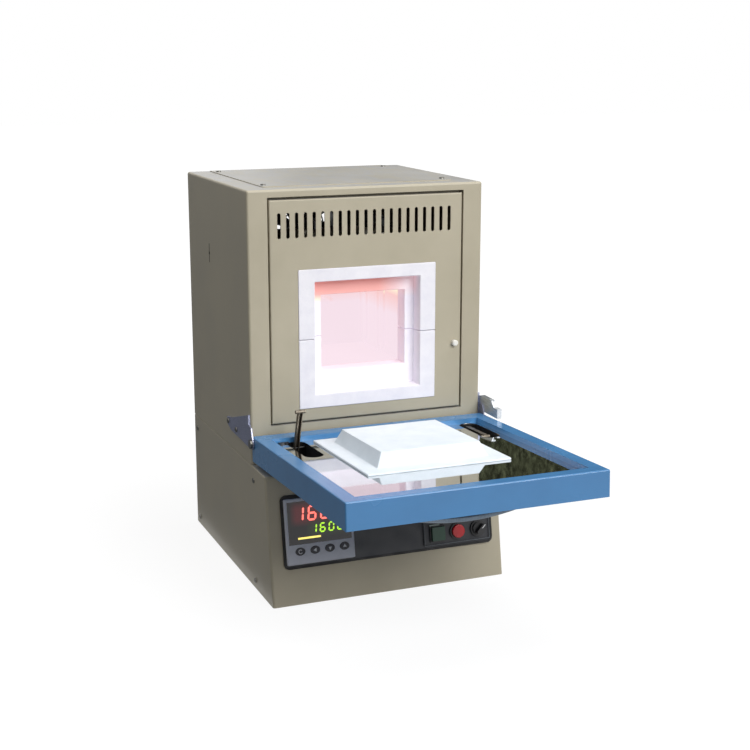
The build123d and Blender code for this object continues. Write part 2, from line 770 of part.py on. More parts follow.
with BuildPart() as base_rear_panel:
    with BuildSketch(front_at(upper_depth)):
        with Locations((0, base_height / 2)):
            RectangleRounded(body_width - 2 * rear_margin, base_height - 2 * rear_margin, 2)
        with Locations((gland_x, gland_height)):
            Circle(gland_bore_radius + 4, mode=Mode.SUBTRACT)
        with Locations(base_rear_screws):
            Circle(screw_radius, mode=Mode.SUBTRACT)
        with Locations((rear_slot_length, base_height / 2)):
            with GridLocations(1, rear_slot_pitch, 1, 7):
                SlotOverall(1.5 * rear_slot_length, rear_slot_width, mode=Mode.SUBTRACT)
    extrude(amount=-rear_thickness)
save(base_rear_panel, "base_rear_panel")
save(pan_screws(rear_screws(rear_screw_places + base_rear_screws) + guard_screws), "rear_cover_screws")

with BuildPart() as cable_gland:
    with BuildSketch(front_at(upper_depth - 12)):
        with Locations((gland_x, gland_height)):
            Circle(gland_bore_radius + 4)
    extrude(amount=-(12 + rear_thickness))
    with BuildSketch(front_at(upper_depth - 6)):
        with Locations((gland_x, gland_height)):
            RegularPolygon(gland_bore_radius + 8, 6)
    extrude(amount=-6)
    with BuildSketch(front_at(rear_y)):
        with Locations((gland_x, gland_height)):
            RegularPolygon(gland_bore_radius + 8, 6)
    extrude(amount=-8)
    with BuildSketch(front_at(rear_y + 8)):
        with Locations((gland_x, gland_height)):
            Circle(gland_bore_radius + 6)
    extrude(amount=-12, taper=14)
    with BuildSketch(front_at(upper_depth - 13)):
        with Locations((gland_x, gland_height)):
            Circle(gland_bore_radius)
    extrude(amount=-60, mode=Mode.SUBTRACT)
save(cable_gland, "cable_gland")

# ---------------------------------------------------------------- power parts inside the base
transformer_x = 70.0
transformer_y = 190.0
core_width = 114.0
core_height = 96.0
core_stack = 60.0
core_limb = 19.0
coil_build = 17.0
with BuildPart() as transformer:
    core_z = sheet + core_height / 2
    with BuildSketch(front_at(transformer_y - core_stack / 2)):
        with Locations((transformer_x, core_z)):
            Rectangle(core_width, core_height)
            with GridLocations(core_width / 2 - core_limb / 2, 1, 2, 1):
                Rectangle(coil_build + 2, core_height - 2 * core_limb, mode=Mode.SUBTRACT)
    extrude(amount=-core_stack)
    # the coil wraps the middle limb and bulges out of the stack at both ends
    coil_height = core_height - 2 * core_limb - 4
    with BuildSketch(Plane.XY.offset(core_z - coil_height / 2)):
        with Locations((transformer_x, transformer_y)):
            RectangleRounded(core_width - 2 * core_limb - 10, core_stack + 2 * coil_build, 12)
    extrude(amount=coil_height)
save(transformer, "transformer")

heatsink_x = -90.0
heatsink_y = 190.0
heatsink_width = 90.0
fin_pitch = 8.0
fin_count = 11
fin_height = 42.0
with BuildPart() as power_regulator:
    with BuildSketch(Plane.XY.offset(sheet)):
        with Locations((heatsink_x, heatsink_y)):
            with GridLocations(fin_pitch, 1, fin_count, 1):
                Rectangle(2, heatsink_width)
    extrude(amount=fin_height)
    with BuildSketch(Plane.XY.offset(sheet + fin_height)):
        with Locations((heatsink_x, heatsink_y)):
            Rectangle(heatsink_width, heatsink_width)
    extrude(amount=6)
    with BuildSketch(Plane.XY.offset(sheet + 6 + fin_height)):
        with Locations((heatsink_x, heatsink_y)):
            RectangleRounded(60, 46, 3)
            with GridLocations(46, 1, 2, 1):
                Circle(3, mode=Mode.SUBTRACT)
    extrude(amount=24)
save(power_regulator, "power_regulator")

terminal_y = 70.0
terminal_length = 110.0
terminal_width = 30.0
terminal_pitch = 12.0
with BuildPart() as terminal_block:
    with BuildSketch(Plane.XY.offset(sheet)):
        with Locations((0, terminal_y)):
            RectangleRounded(terminal_length, terminal_width, 2)
    extrude(amount=16)
    with BuildSketch(Plane.XY.offset(sheet + 16)):
        with Locations((0, terminal_y)):
            with GridLocations(terminal_pitch, 1, 9, 1):
                Rectangle(2, terminal_width)
    extrude(amount=7)
save(terminal_block, "terminal_block")

# ---------------------------------------------------------------- control strip
slope_axis = Axis((0, 0, 0), slope_normal)
strip_centre = ((strip_left + strip_right) / 2, (strip_bottom + strip_top) / 2)
strip_width = strip_right - strip_left
strip_height = strip_top - strip_bottom
switch_places = [(x, switch_rise) for x in (green_x, red_x, selector_x)]
inner_radius = strip_radius - gasket_width
with BuildPart() as control_gasket:
    with BuildSketch(slope_plane):
        with Locations(strip_centre):
            RectangleRounded(strip_width, strip_height, strip_radius)
            RectangleRounded(strip_width - 2 * gasket_width, strip_height - 2 * gasket_width,
                             inner_radius, mode=Mode.SUBTRACT)
    extrude(amount=gasket_height)
save(control_gasket, "control_gasket")

with BuildPart() as control_fascia:
    with BuildSketch(slope_plane):
        with Locations(strip_centre):
            RectangleRounded(strip_width - 2 * gasket_width, strip_height - 2 * gasket_width, inner_radius)
        with Locations((controller_x, controller_rise)):
            Rectangle(controller_body + 2 * fit_gap, controller_body + 2 * fit_gap, mode=Mode.SUBTRACT)
        with Locations(switch_places):
            Circle(switch_body_radius + fit_gap, mode=Mode.SUBTRACT)
    extrude(amount=fascia_thickness)
save(control_fascia, "control_fascia")

# ---------------------------------------------------------------- temperature controller
bezel_face = fascia_thickness + bezel_thickness
key_names = ("key_set", "key_left", "key_down", "key_up")
key_places = [(key_first_x + k * key_pitch, key_rise) for k in range(len(key_names))]
with BuildPart() as controller_case:
    with BuildSketch(slope_plane.offset(fascia_thickness)):
        with Locations((controller_x, controller_rise)):
            RectangleRounded(bezel_width, bezel_height, 2)
    extrude(amount=bezel_thickness)
    chamfer(controller_case.faces().sort_by(slope_axis)[-1].edges(), 1)
    with BuildSketch(slope_plane.offset(fascia_thickness)):
        with Locations((controller_x, controller_rise)):
            Rectangle(controller_body, controller_body)
    extrude(amount=-controller_length)
    with BuildSketch(slope_plane.offset(bezel_face)):
        with Locations((controller_x, lens_rise)):
            Rectangle(lens_width, lens_height)
    extrude(amount=-lens_thickness, mode=Mode.SUBTRACT)
    with BuildSketch(slope_plane.offset(bezel_face)):
        with Locations(key_places):
            Ellipse(key_width / 2 + key_gap, key_height / 2 + key_gap)
    extrude(amount=-key_pocket, mode=Mode.SUBTRACT)
save(controller_case, "controller_case")

with BuildPart() as display_lens:
    with BuildSketch(slope_plane.offset(bezel_face - lens_thickness)):
        with Locations((controller_x, lens_rise)):
            Rectangle(lens_width, lens_height)
    extrude(amount=lens_thickness)
save(display_lens, "display_lens")

for key_name, place in zip(key_names, key_places):
    with BuildPart() as key:
        with BuildSketch(slope_plane.offset(bezel_face - key_pocket + key_travel + key_gap)):
            with Locations(place):
                Ellipse(key_width / 2, key_height / 2)
        extrude(amount=key_pocket - key_travel - key_gap + key_proud)
        fillet(key.faces().sort_by(slope_axis)[-1].edges(), key_proud / 2)
    save(key, key_name)

# ---------------------------------------------------------------- switches
switch_panel_centre = ((switch_panel_left + switch_panel_right) / 2,
                       (switch_panel_bottom + switch_panel_top) / 2)
collar_base = fascia_thickness + switch_panel_thickness
collar_face = collar_base + collar_height
with BuildPart() as switch_panel:
    with BuildSketch(slope_plane.offset(fascia_thickness)):
        with Locations(switch_panel_centre):
            RectangleRounded(switch_panel_right - switch_panel_left,
                             switch_panel_top - switch_panel_bottom, 2)
        with Locations(switch_places):
            Circle(switch_body_radius + fit_gap, mode=Mode.SUBTRACT)
    extrude(amount=switch_panel_thickness)
save(switch_panel, "switch_panel")

round_radius = button_size / 2 - 0.5
with BuildPart() as switch_bodies:
    with BuildSketch(slope_plane.offset(collar_base)):
        with Locations((green_x, switch_rise)):
            RectangleRounded(button_size + 2 * collar_wall, button_size + 2 * collar_wall, 2)
        with Locations((red_x, switch_rise), (selector_x, switch_rise)):
            Circle(button_size / 2 + collar_wall)
    extrude(amount=collar_height)
    with BuildSketch(slope_plane.offset(collar_base)):
        with Locations(switch_places):
            Circle(switch_body_radius)
    extrude(amount=-switch_body_length)
    # wells for the two buttons' caps and stems, and the bearing of the selector's stem
    with BuildSketch(slope_plane.offset(collar_face)):
        with Locations((green_x, switch_rise)):
            Rectangle(button_size + 2 * button_gap, button_size + 2 * button_gap)
        with Locations((red_x, switch_rise)):
            Circle(round_radius + button_gap)
    extrude(amount=-collar_height, mode=Mode.SUBTRACT)
    with BuildSketch(slope_plane.offset(collar_face)):
        with Locations((green_x, switch_rise)):
            Rectangle(button_stem + 2 * button_gap, button_stem + 2 * button_gap)
        with Locations((red_x, switch_rise)):
            Circle(button_stem / 2 + button_gap)
        with Locations((selector_x, switch_rise)):
            Circle(knob_stem_radius + running_gap)
    extrude(amount=-collar_face + button_floor, mode=Mode.SUBTRACT)
save(switch_bodies, "switch_bodies")

cap_bottom = collar_base + button_travel + fit_gap
cap_height = collar_face + button_proud - cap_bottom
stem_bottom = button_floor + button_travel + fit_gap
with BuildPart() as green_button:
    with BuildSketch(slope_plane.offset(cap_bottom)):
        with Locations((green_x, switch_rise)):
            RectangleRounded(button_size, button_size, 1.5)
    extrude(amount=cap_height)
    fillet(green_button.faces().sort_by(slope_axis)[-1].edges(), 0.8)
    with BuildSketch(slope_plane.offset(cap_bottom)):
        with Locations((green_x, switch_rise)):
            Rectangle(button_stem, button_stem)
    extrude(amount=stem_bottom - cap_bottom)
save(green_button, "green_button")

with BuildPart() as red_button:
    with BuildSketch(slope_plane.offset(cap_bottom)):
        with Locations((red_x, switch_rise)):
            Circle(round_radius)
    extrude(amount=cap_height)
    fillet(red_button.faces().sort_by(slope_axis)[-1].edges(), 1.5)
    with BuildSketch(slope_plane.offset(cap_bottom)):
        with Locations((red_x, switch_rise)):
            Circle(button_stem / 2)
    extrude(amount=stem_bottom - cap_bottom)
save(red_button, "red_button")

knob_bottom = collar_face + fit_gap
with BuildPart() as selector_knob:
    with BuildSketch(slope_plane.offset(knob_bottom)):
        with Locations((selector_x, switch_rise)):
            Circle(knob_radius)
    extrude(amount=3)
    with BuildSketch(slope_plane.offset(knob_bottom + 3)):
        with Locations((selector_x, switch_rise)):
            SlotOverall(2 * knob_radius - 1, 6.4, rotation=45)
    extrude(amount=8, taper=4)
    with BuildSketch(slope_plane.offset(knob_bottom)):
        with Locations((selector_x, switch_rise)):
            Circle(knob_stem_radius)
    extrude(amount=button_floor + fit_gap - knob_bottom)
save(selector_knob, "selector_knob")

# ---------------------------------------------------------------- door switch behind the front panel
with BuildPart() as door_switch:
    with BuildSketch(front_at(sheet)):
        with Locations((plunger_x, plunger_z)):
            RectangleRounded(switch_block_width, switch_block_height, 1.5)
    extrude(amount=-switch_block_depth)
    with BuildSketch(front_at(sheet)):
        with Locations((plunger_x, plunger_z)):
            Circle(plunger_radius + running_gap)
    extrude(amount=switch_block_floor - switch_block_depth, mode=Mode.SUBTRACT)
save(door_switch, "door_switch")

with BuildPart() as door_switch_plunger:
    with BuildSketch(front_at(-plunger_proud)):
        with Locations((plunger_x, plunger_z)):
            Circle(plunger_radius)
    extrude(amount=-(plunger_proud + sheet + switch_block_depth - switch_block_floor
                     - plunger_travel - fit_gap))
    fillet(door_switch_plunger.faces().sort_by(Axis.Y)[0].edges(), 2)
save(door_switch_plunger, "door_switch_plunger")

# ---------------------------------------------------------------- door
window_width = door_width - 2 * rim_side
window_length = door_length - rim_front - rim_rear
window_centre = -(rim_rear + window_length / 2)
pocket_places = [(x, -(pocket_start + pocket_length / 2)) for x in (pocket_left_x, pocket_right_x)]
skin_face = -door_thickness
with BuildPart() as door_frame:
    with BuildSketch(door_plane.offset(skin_face)):
        with Locations((0, -door_length / 2)):
            Rectangle(door_width, door_length)
    extrude(amount=door_thickness)
    up_axis = Axis((0, 0, 0), door_normal)
    upright = [edge for edge in door_frame.edges() if abs((edge % 0.5).dot(Vector(*door_normal))) > 0.99]
    rim_edges = door_frame.faces().sort_by(up_axis)[-1].edges()
    fillet(upright + list(rim_edges), door_edge_radius)
    with BuildSketch(door_plane.offset(skin_face - 1)):
        with Locations((0, -door_length / 2)):
            Rectangle(door_width - 2 * sheet, door_length - 2 * sheet)
    extrude(amount=door_thickness + 1 - sheet, mode=Mode.SUBTRACT)
    with BuildSketch(door_plane.offset(1)):
        with Locations((0, window_centre)):
            Rectangle(window_width, window_length)
    extrude(amount=-rim_depth, mode=Mode.SUBTRACT)
    # the rim's inner edge is folded down on to the mirror plate
    with BuildSketch(door_plane.offset(-rim_depth)):
        with Locations((0, window_centre)):
            Rectangle(window_width + 2 * sheet, window_length + 2 * sheet)
            Rectangle(window_width, window_length, mode=Mode.SUBTRACT)
    extrude(amount=rim_depth - sheet / 2)
    for side in (-1, 1):
        with BuildSketch(side_at(side * door_half)):
            with Locations((hinge_point.Y, hinge_point.Z)):
                Circle(hinge_bush_radius)
        extrude(amount=-side * hinge_bush_length, mode=Mode.SUBTRACT)
save(door_frame, "door_frame")

with BuildPart() as door_skin:
    with BuildSketch(door_plane.offset(skin_face)):
        with Locations((0, -door_length / 2)):
            Rectangle(door_width - 2 * sheet, door_length - 2 * sheet)
    extrude(amount=sheet)
save(door_skin, "door_skin")

with BuildPart() as door_mirror_plate:
    with BuildSketch(door_plane.offset(-rim_depth)):
        with Locations((0, window_centre)):
            Rectangle(window_width + 2 * mirror_overlap, window_length + 2 * mirror_overlap)
        with Locations(pocket_places):
            SlotOverall(pocket_length, pocket_width, rotation=90, mode=Mode.SUBTRACT)
    extrude(amount=-mirror_thickness)
save(door_mirror_plate, "door_mirror_plate")

plate_back = -rim_depth - mirror_thickness
with BuildPart() as door_insulation:
    with BuildSketch(door_plane.offset(skin_face + sheet)):
        with Locations((0, window_centre)):
            Rectangle(window_width, window_length)
        with Locations(pocket_places):
            SlotOverall(pocket_length + 2 * pocket_wall + 1, pocket_width + 2 * pocket_wall + 1,
                        rotation=90, mode=Mode.SUBTRACT)
    extrude(amount=plate_back - skin_face - sheet)
save(door_insulation, "door_insulation")

with BuildPart() as link_pockets:
    with BuildSketch(door_plane.offset(plate_back - pocket_depth)):
        with Locations(pocket_places):
            SlotOverall(pocket_length + 2 * pocket_wall, pocket_width + 2 * pocket_wall, rotation=90)
    extrude(amount=pocket_depth)
    with BuildSketch(door_plane.offset(plate_back)):
        with Locations(pocket_places):
            SlotOverall(pocket_length, pocket_width, rotation=90)
    extrude(amount=pocket_wall - pocket_depth, mode=Mode.SUBTRACT)
    # the pins that the two stay links turn on run across the pockets, near their round ends
    end_radius = pocket_width / 2
    pin_half = sqrt(end_radius ** 2 - (end_radius - link_v + pocket_start) ** 2) + pocket_wall / 2
    for x in (pocket_left_x, pocket_right_x):
        pin_centre = door_point(x, link_v, link_w)
        with BuildSketch(Plane(origin=pin_centre, z_dir=(1, 0, 0))):
            Circle(link_pin_radius)
        extrude(amount=pin_half, both=True)
save(link_pockets, "link_pockets")

with BuildPart() as door_plug:
    with BuildSketch(door_plane.offset(-rim_depth)):
        with Locations((0, -(plug_flange_start + plug_flange_length / 2))):
            Rectangle(plug_flange_width, plug_flange_length)
    extrude(amount=plug_flange_thickness)
    with BuildSketch(door_plane.offset(plug_flange_thickness - rim_depth)):
        with Locations((0, -plug_centre)):
            Rectangle(plug_base_width, plug_base_length)
    extrude(amount=plug_height, taper=degrees(atan(plug_slope / plug_height)))
    fillet(door_plug.faces().sort_by(up_axis)[-1].edges(), 1)
save(door_plug, "door_plug")

with BuildPart() as hinge_bushes:
    for side in (-1, 1):
        with BuildSketch(side_at(side * door_half)):
            with Locations((hinge_point.Y, hinge_point.Z)):
                Circle(hinge_bush_radius)
                Circle(hinge_pin_radius + running_gap, mode=Mode.SUBTRACT)
        extrude(amount=-side * hinge_bush_length)
save(hinge_bushes, "hinge_bushes")

handle_plane = Plane(origin=door_point(0, door_length - handle_setback, skin_face), x_dir=(1, 0, 0),
                     z_dir=(0, cos(radians(door_rise_angle)), -sin(radians(door_rise_angle))))
with BuildPart() as door_handle:
    with BuildLine(handle_plane) as grip_line:
        ThreePointArc((-handle_half, 0), (0, handle_standoff), (handle_half, 0))
    grip_wire = grip_line.wires()[0]
    with BuildSketch(Plane(origin=grip_wire @ 0, z_dir=grip_wire % 0)):
        Circle(handle_radius)
    sweep(path=grip_wire)
    with BuildSketch(door_plane.offset(skin_face)):
        with Locations((0, handle_setback - door_length)):
            Rectangle(2.5 * handle_half, 4 * handle_foot_radius)
    extrude(amount=2 * handle_radius, mode=Mode.SUBTRACT)
    with BuildSketch(door_plane.offset(skin_face)):
        with Locations([(side * handle_half, handle_setback - door_length) for side in (-1, 1)]):
            Circle(handle_foot_radius)
    extrude(amount=-handle_foot_height)
save(door_handle, "door_handle")

# ---------------------------------------------------------------- stay links in the door's pockets
raised = radians(link_lean)
splay = radians(link_splay)
link_planes = {
    "stay_link_left": Plane(origin=door_point(link_left_x, link_v, link_w),
                            x_dir=(cos(splay), sin(raised) * sin(splay), -cos(raised) * sin(splay)),
                            z_dir=(sin(splay), -sin(raised) * cos(splay), cos(raised) * cos(splay))),
    "stay_link_right": Plane(origin=door_point(link_right_x, link_v, link_w), x_dir=(1, 0, 0),
                             z_dir=(0, -cos(radians(door_rise_angle)), sin(radians(door_rise_angle)))),
}
for link_name, link_plane in link_planes.items():
    with BuildPart() as stay_link:
        with BuildSketch(link_plane.offset(-link_depth / 2)):
            Rectangle(link_width, link_depth)
            with Locations((0, -link_sheet)):
                Rectangle(link_width - 2 * link_sheet, link_depth, mode=Mode.SUBTRACT)
        extrude(amount=link_length + link_depth / 2)
        with BuildSketch(Plane(origin=link_plane.origin, z_dir=(1, 0, 0))):
            Circle(link_pin_radius + running_gap)
        extrude(amount=link_width, both=True, mode=Mode.SUBTRACT)
        cross_centre = link_plane.origin + link_plane.z_dir * link_length
        with BuildSketch(Plane(origin=cross_centre, z_dir=(1, 0, 0))):
            Circle(cross_pin_radius)
        extrude(amount=cross_pin_length / 2, both=True)
    save(stay_link, link_name)

# ---------------------------------------------------------------- hinge plates, pins and bracket
for side, plate_name in ((-1, "hinge_plate_left"), (1, "hinge_plate_right")):
    with BuildPart() as hinge_plate:
        with BuildSketch(side_at(side * half_width)):
            with BuildLine():
                Polyline((hinge_point.Y, hinge_point.Z - hinge_ear_radius), (3, hinge_plate_bottom),
                         (90, hinge_plate_bottom + 2.5), (hinge_plate_back, hinge_tail_bottom),
                         (hinge_plate_back, hinge_tail_top), (93, hinge_tail_top + 2), (3, hinge_plate_top),
                         (3, hinge_plate_top - 13), (-9, hinge_plate_top - 16),
                         (hinge_point.Y - hinge_ear_radius, hinge_point.Z),
                         (hinge_point.Y, hinge_point.Z - hinge_ear_radius))
            make_face()
            with Locations((hinge_point.Y, hinge_point.Z)):
                Circle(hinge_ear_radius)
                Circle(hinge_pin_radius + running_gap, mode=Mode.SUBTRACT)
            with Locations(plate_screw_places):
                Circle(screw_radius, mode=Mode.SUBTRACT)
        extrude(amount=side * hinge_plate_thickness)
        # the ear stands clear of the door's side
        with BuildSketch(side_at(side * half_width)):
            with Locations((1 - hinge_plate_back, hinge_point.Z)):
                Rectangle(2 * hinge_plate_back, 2 * hinge_plate_back)
        extrude(amount=side * (door_half - half_width + ear_clearance), mode=Mode.SUBTRACT)
    save(hinge_plate, plate_name)

pin_head_radius = 6.5
pin_head_height = 3.0
with BuildPart() as hinge_pins:
    for side in (-1, 1):
        outside_plane = side_at(side * (half_width + hinge_plate_thickness))
        with BuildSketch(outside_plane):
            with Locations((hinge_point.Y, hinge_point.Z)):
                Circle(pin_head_radius)
        extrude(amount=side * pin_head_height)
        with BuildSketch(outside_plane):
            with Locations((hinge_point.Y, hinge_point.Z)):
                Circle(hinge_pin_radius)
        extrude(amount=-side * (hinge_plate_thickness + hinge_bush_length - 2))
save(hinge_pins, "hinge_pins")

bracket_x = half_width + hinge_plate_thickness
with BuildPart() as stay_bracket:
    with BuildSketch(side_at(bracket_x)):
        with BuildLine():
            Polyline((bracket_back, bracket_bottom), (bracket_front + 5, bracket_bottom),
                     (bracket_front + 5, bracket_top - 10), (bracket_front + 14, bracket_top),
                     (0, bracket_top), (bracket_back, bracket_bottom + 10),
                     (bracket_back, bracket_bottom))
        make_face()
    extrude(amount=bracket_sheet)
    with BuildSketch(side_at(bracket_x)):
        with Locations(((bracket_front + 14) / 2, bracket_top - bracket_sheet / 2)):
            Rectangle(-bracket_front - 14, bracket_sheet)
        with Locations((bracket_front, bracket_bottom + 7)):
            Rectangle(12, 14)
    extrude(amount=bracket_flange)
save(stay_bracket, "stay_bracket")

# ---------------------------------------------------------------- screws on the two sides
side_screw_planes = []
for side in (-1, 1):
    for y, z in base_screw_places:
        side_screw_planes.append(Plane(origin=(side * half_width, y, z), x_dir=(0, 1, 0), z_dir=(side, 0, 0)))
    for y, z in plate_screw_places:
        side_screw_planes.append(Plane(origin=(side * bracket_x, y, z), x_dir=(0, 1, 0), z_dir=(side, 0, 0)))
save(pan_screws(side_screw_planes), "side_screws")
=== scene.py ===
"""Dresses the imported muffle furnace: finishes for every part, its display, its small fittings and the studio."""

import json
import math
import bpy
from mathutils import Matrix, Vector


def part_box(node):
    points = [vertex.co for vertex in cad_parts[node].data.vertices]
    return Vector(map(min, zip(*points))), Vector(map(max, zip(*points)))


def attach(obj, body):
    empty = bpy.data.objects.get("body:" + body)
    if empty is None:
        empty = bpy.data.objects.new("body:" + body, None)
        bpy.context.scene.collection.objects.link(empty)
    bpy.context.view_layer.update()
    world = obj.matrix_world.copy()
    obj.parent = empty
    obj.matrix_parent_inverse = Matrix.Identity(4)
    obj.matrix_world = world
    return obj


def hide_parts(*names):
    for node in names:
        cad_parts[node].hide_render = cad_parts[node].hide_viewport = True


bl_info = {
    "name": "Muffle furnace",
    "version": (1, 0, 0),
    "blender": (4, 5, 0),
    "location": "View3D > Sidebar > Furnace",
    "description": "Finishes and fittings for a bench-top muffle furnace with a drop-down door",
    "category": "Object",
}

import bmesh
import bpy
from bpy.props import FloatProperty, FloatVectorProperty, PointerProperty, StringProperty
from mathutils import Matrix, Vector

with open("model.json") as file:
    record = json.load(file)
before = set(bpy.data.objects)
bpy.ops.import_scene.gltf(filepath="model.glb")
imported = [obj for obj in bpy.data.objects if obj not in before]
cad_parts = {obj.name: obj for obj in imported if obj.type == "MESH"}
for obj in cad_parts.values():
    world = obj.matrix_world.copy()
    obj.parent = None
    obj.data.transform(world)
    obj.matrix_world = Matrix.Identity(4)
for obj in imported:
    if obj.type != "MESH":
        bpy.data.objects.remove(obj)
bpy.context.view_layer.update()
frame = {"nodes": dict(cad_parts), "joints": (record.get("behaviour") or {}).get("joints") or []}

MM = 0.001
joints = {joint["name"]: joint for joint in frame["joints"]}

# ---------------------------------------------------------------- places read from the frame
slope_out = Vector(joints["selector_turn"]["axis"]).normalized()
slope_up = slope_out.cross(Vector((1, 0, 0)))
slope_foot = Vector((0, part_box("base_casing")[0].y, 0))
door_tilt = math.radians(90 - joints["door_hinge"]["range_deg"][1])
door_along = Vector((0, -math.cos(door_tilt), math.sin(door_tilt)))
door_out = Vector((0, math.sin(door_tilt), math.cos(door_tilt)))
door_heel = Vector((0, -5, 224)) * MM
fascia_face = 5.0               # millimetres from the base's slope to the fascia's face
lens_face = 7.0                 # and to the lens's face
label_face = 6.55               # and to the switch panel's label
plate_face = -6.99              # millimetres from the door's rim to its polished plate
film = 0.02                     # millimetres that ink and light stand off the face they lie on


def on_slope(x, rise, height):
    """A point of the control strip: x across, rise up the slope from its foot, height out of it, in millimetres."""
    return slope_foot + Vector((x, 0, 0)) * MM + slope_up * rise * MM + slope_out * height * MM


def on_door(x, v, w):
    """A point of the door: x across, v from its rear edge, w over its rim, in millimetres."""
    return door_heel + Vector((x, 0, 0)) * MM + door_along * v * MM + door_out * w * MM


# ---------------------------------------------------------------- colour and node helpers
def linear(hex_code):
    """An sRGB hex colour as the linear RGBA that a shader takes."""
    parts = [int(hex_code.lstrip("#")[i:i + 2], 16) / 255 for i in (0, 2, 4)]
    return (*[c / 12.92 if c <= 0.04045 else ((c + 0.055) / 1.055) ** 2.4 for c in parts], 1.0)


def add_node(tree, kind, inputs=None, **settings):
    """Adds a shader node, sets what it is given and links the sockets among its inputs."""
    node = tree.nodes.new(kind)
    for name, value in settings.items():
        setattr(node, name, value)
    for name, value in (inputs or {}).items():
        socket = node.inputs[name]
        if isinstance(value, bpy.types.NodeSocket):
            tree.links.new(value, socket)
        else:
            socket.default_value = value
    return node


def new_material(name):
    """An empty node material, and the tree and output that its finish is built in."""
    material = bpy.data.materials.new(name)
    material.use_nodes = True
    tree = material.node_tree
    tree.nodes.clear()
    output = tree.nodes.new("ShaderNodeOutputMaterial")
    return material, tree, output


def grains(size_mm):
    """The scale that gives a noise texture features of this size, on coordinates in metres."""
    return 1 / (size_mm * MM)


def shades(tree, factor, *stops):
    """A colour ramp from (place, hex) stops."""
    ramp = add_node(tree, "ShaderNodeValToRGB", {"Fac": factor})
    while len(ramp.color_ramp.elements) < len(stops):
        ramp.color_ramp.elements.new(0.5)
    for element, (place, colour) in zip(ramp.color_ramp.elements, stops):
        element.position = place
        element.color = linear(colour)
    return ramp.outputs["Color"]


def levels(tree, factor, low, high, near=0.0, far=1.0):
    """A value brought from near...far to low...high."""
    return add_node(tree, "ShaderNodeMapRange", {
        "Value": factor, "From Min": near, "From Max": far, "To Min": low, "To Max": high}).outputs["Result"]


def product(tree, first, second):
    """Two values multiplied."""
    return add_node(tree, "ShaderNodeMath", {0: first, 1: second}, operation="MULTIPLY").outputs[0]


def blend(tree, share, first, second):
    """The first colour where share is nothing, and the second where it is one."""
    return add_node(tree, "ShaderNodeMix", {0: share, 6: first, 7: second}, data_type="RGBA").outputs[2]


def object_place(tree):
    """Where a point is on its object, in metres."""
    return add_node(tree, "ShaderNodeTexCoord").outputs["Object"]


def principled(material):
    """The shader of a finish that one of the functions below has made."""
    return next(node for node in material.node_tree.nodes if node.type == "BSDF_PRINCIPLED")


# ---------------------------------------------------------------- finishes
def powder_coat(name, face, shade, speck_mm=2.4, roughness=0.42, upward_grey=None):
    """Polyester powder coat on folded steel, sprayed and baked: satin, with fine orange peel and drifts of tone."""
    material, tree, output = new_material(name)
    place = object_place(tree)
    drift = add_node(tree, "ShaderNodeTexNoise", {
        "Vector": place, "Scale": grains(90), "Detail": 3.0, "Roughness": 0.55})
    # real orange peel is about 1 mm across; drawn a little coarser so that it shows
    peel = add_node(tree, "ShaderNodeTexNoise", {"Vector": place, "Scale": grains(speck_mm), "Detail": 2.0})
    tone = shades(tree, drift.outputs["Fac"], (0.3, shade), (0.7, face))
    gloss = levels(tree, drift.outputs["Fac"], roughness - 0.05, roughness + 0.06, 0.3, 0.7)
    if upward_grey:
        # faces that point up are greyed in long streaks
        normal = add_node(tree, "ShaderNodeNewGeometry").outputs["Normal"]
        facing = add_node(tree, "ShaderNodeSeparateXYZ", {"Vector": normal})
        streak_run = add_node(tree, "ShaderNodeMapping", {"Vector": place, "Scale": (1, 0.35, 1), "Rotation": (0, 0, 0.6)})
        smear = add_node(tree, "ShaderNodeTexNoise", {
            "Vector": streak_run.outputs["Vector"], "Scale": grains(26), "Detail": 5.0, "Distortion": 1.6})
        lying = levels(tree, facing.outputs["Z"], 0.0, 1.0, 0.93, 0.99)
        streaked = levels(tree, smear.outputs["Fac"], 0.55, 1.0, 0.35, 0.62)
        tone = blend(tree, product(tree, lying, streaked), tone, linear(upward_grey))
    bump = add_node(tree, "ShaderNodeBump", {"Height": peel.outputs["Fac"], "Strength": 0.10, "Distance": 0.0002})
    shader = add_node(tree, "ShaderNodeBsdfPrincipled", {
        "Base Color": tone, "Roughness": gloss, "IOR": 1.5, "Normal": bump.outputs["Normal"]})
    tree.links.new(shader.outputs["BSDF"], output.inputs["Surface"])
    return material


def fibre_board(name, face, shade, fibre_mm=1.6, depth=0.35):
    """Vacuum-formed alumina fibre board, moulded wet and dried: chalk white, no gloss, matted fibres and soft pits."""
    material, tree, output = new_material(name)
    place = object_place(tree)
    cloud = add_node(tree, "ShaderNodeTexNoise", {
        "Vector": place, "Scale": grains(28), "Detail": 5.0, "Roughness": 0.6})
    # the fibres are microns thick; they are drawn as 1.6 mm mats so that the nap shows
    mat = add_node(tree, "ShaderNodeTexNoise", {
        "Vector": place, "Scale": grains(fibre_mm), "Detail": 6.0, "Roughness": 0.7, "Distortion": 0.8})
    pits = add_node(tree, "ShaderNodeTexVoronoi", {"Vector": place, "Scale": grains(7.0)}, feature="F1")
    hollow = levels(tree, pits.outputs["Distance"], 0.0, 1.0, 0.0, 0.28)
    tone = shades(tree, cloud.outputs["Fac"], (0.28, shade), (0.62, face))
    height = add_node(tree, "ShaderNodeMath", {0: mat.outputs["Fac"], 1: hollow}, operation="ADD")
    bump = add_node(tree, "ShaderNodeBump", {"Height": height.outputs[0], "Strength": depth, "Distance": 0.0004})
    shader = add_node(tree, "ShaderNodeBsdfPrincipled", {
        "Base Color": tone, "Roughness": 0.95, "IOR": 1.4, "Specular IOR Level": 0.15,
        "Normal": bump.outputs["Normal"]})
    tree.links.new(shader.outputs["BSDF"], output.inputs["Surface"])
    return material


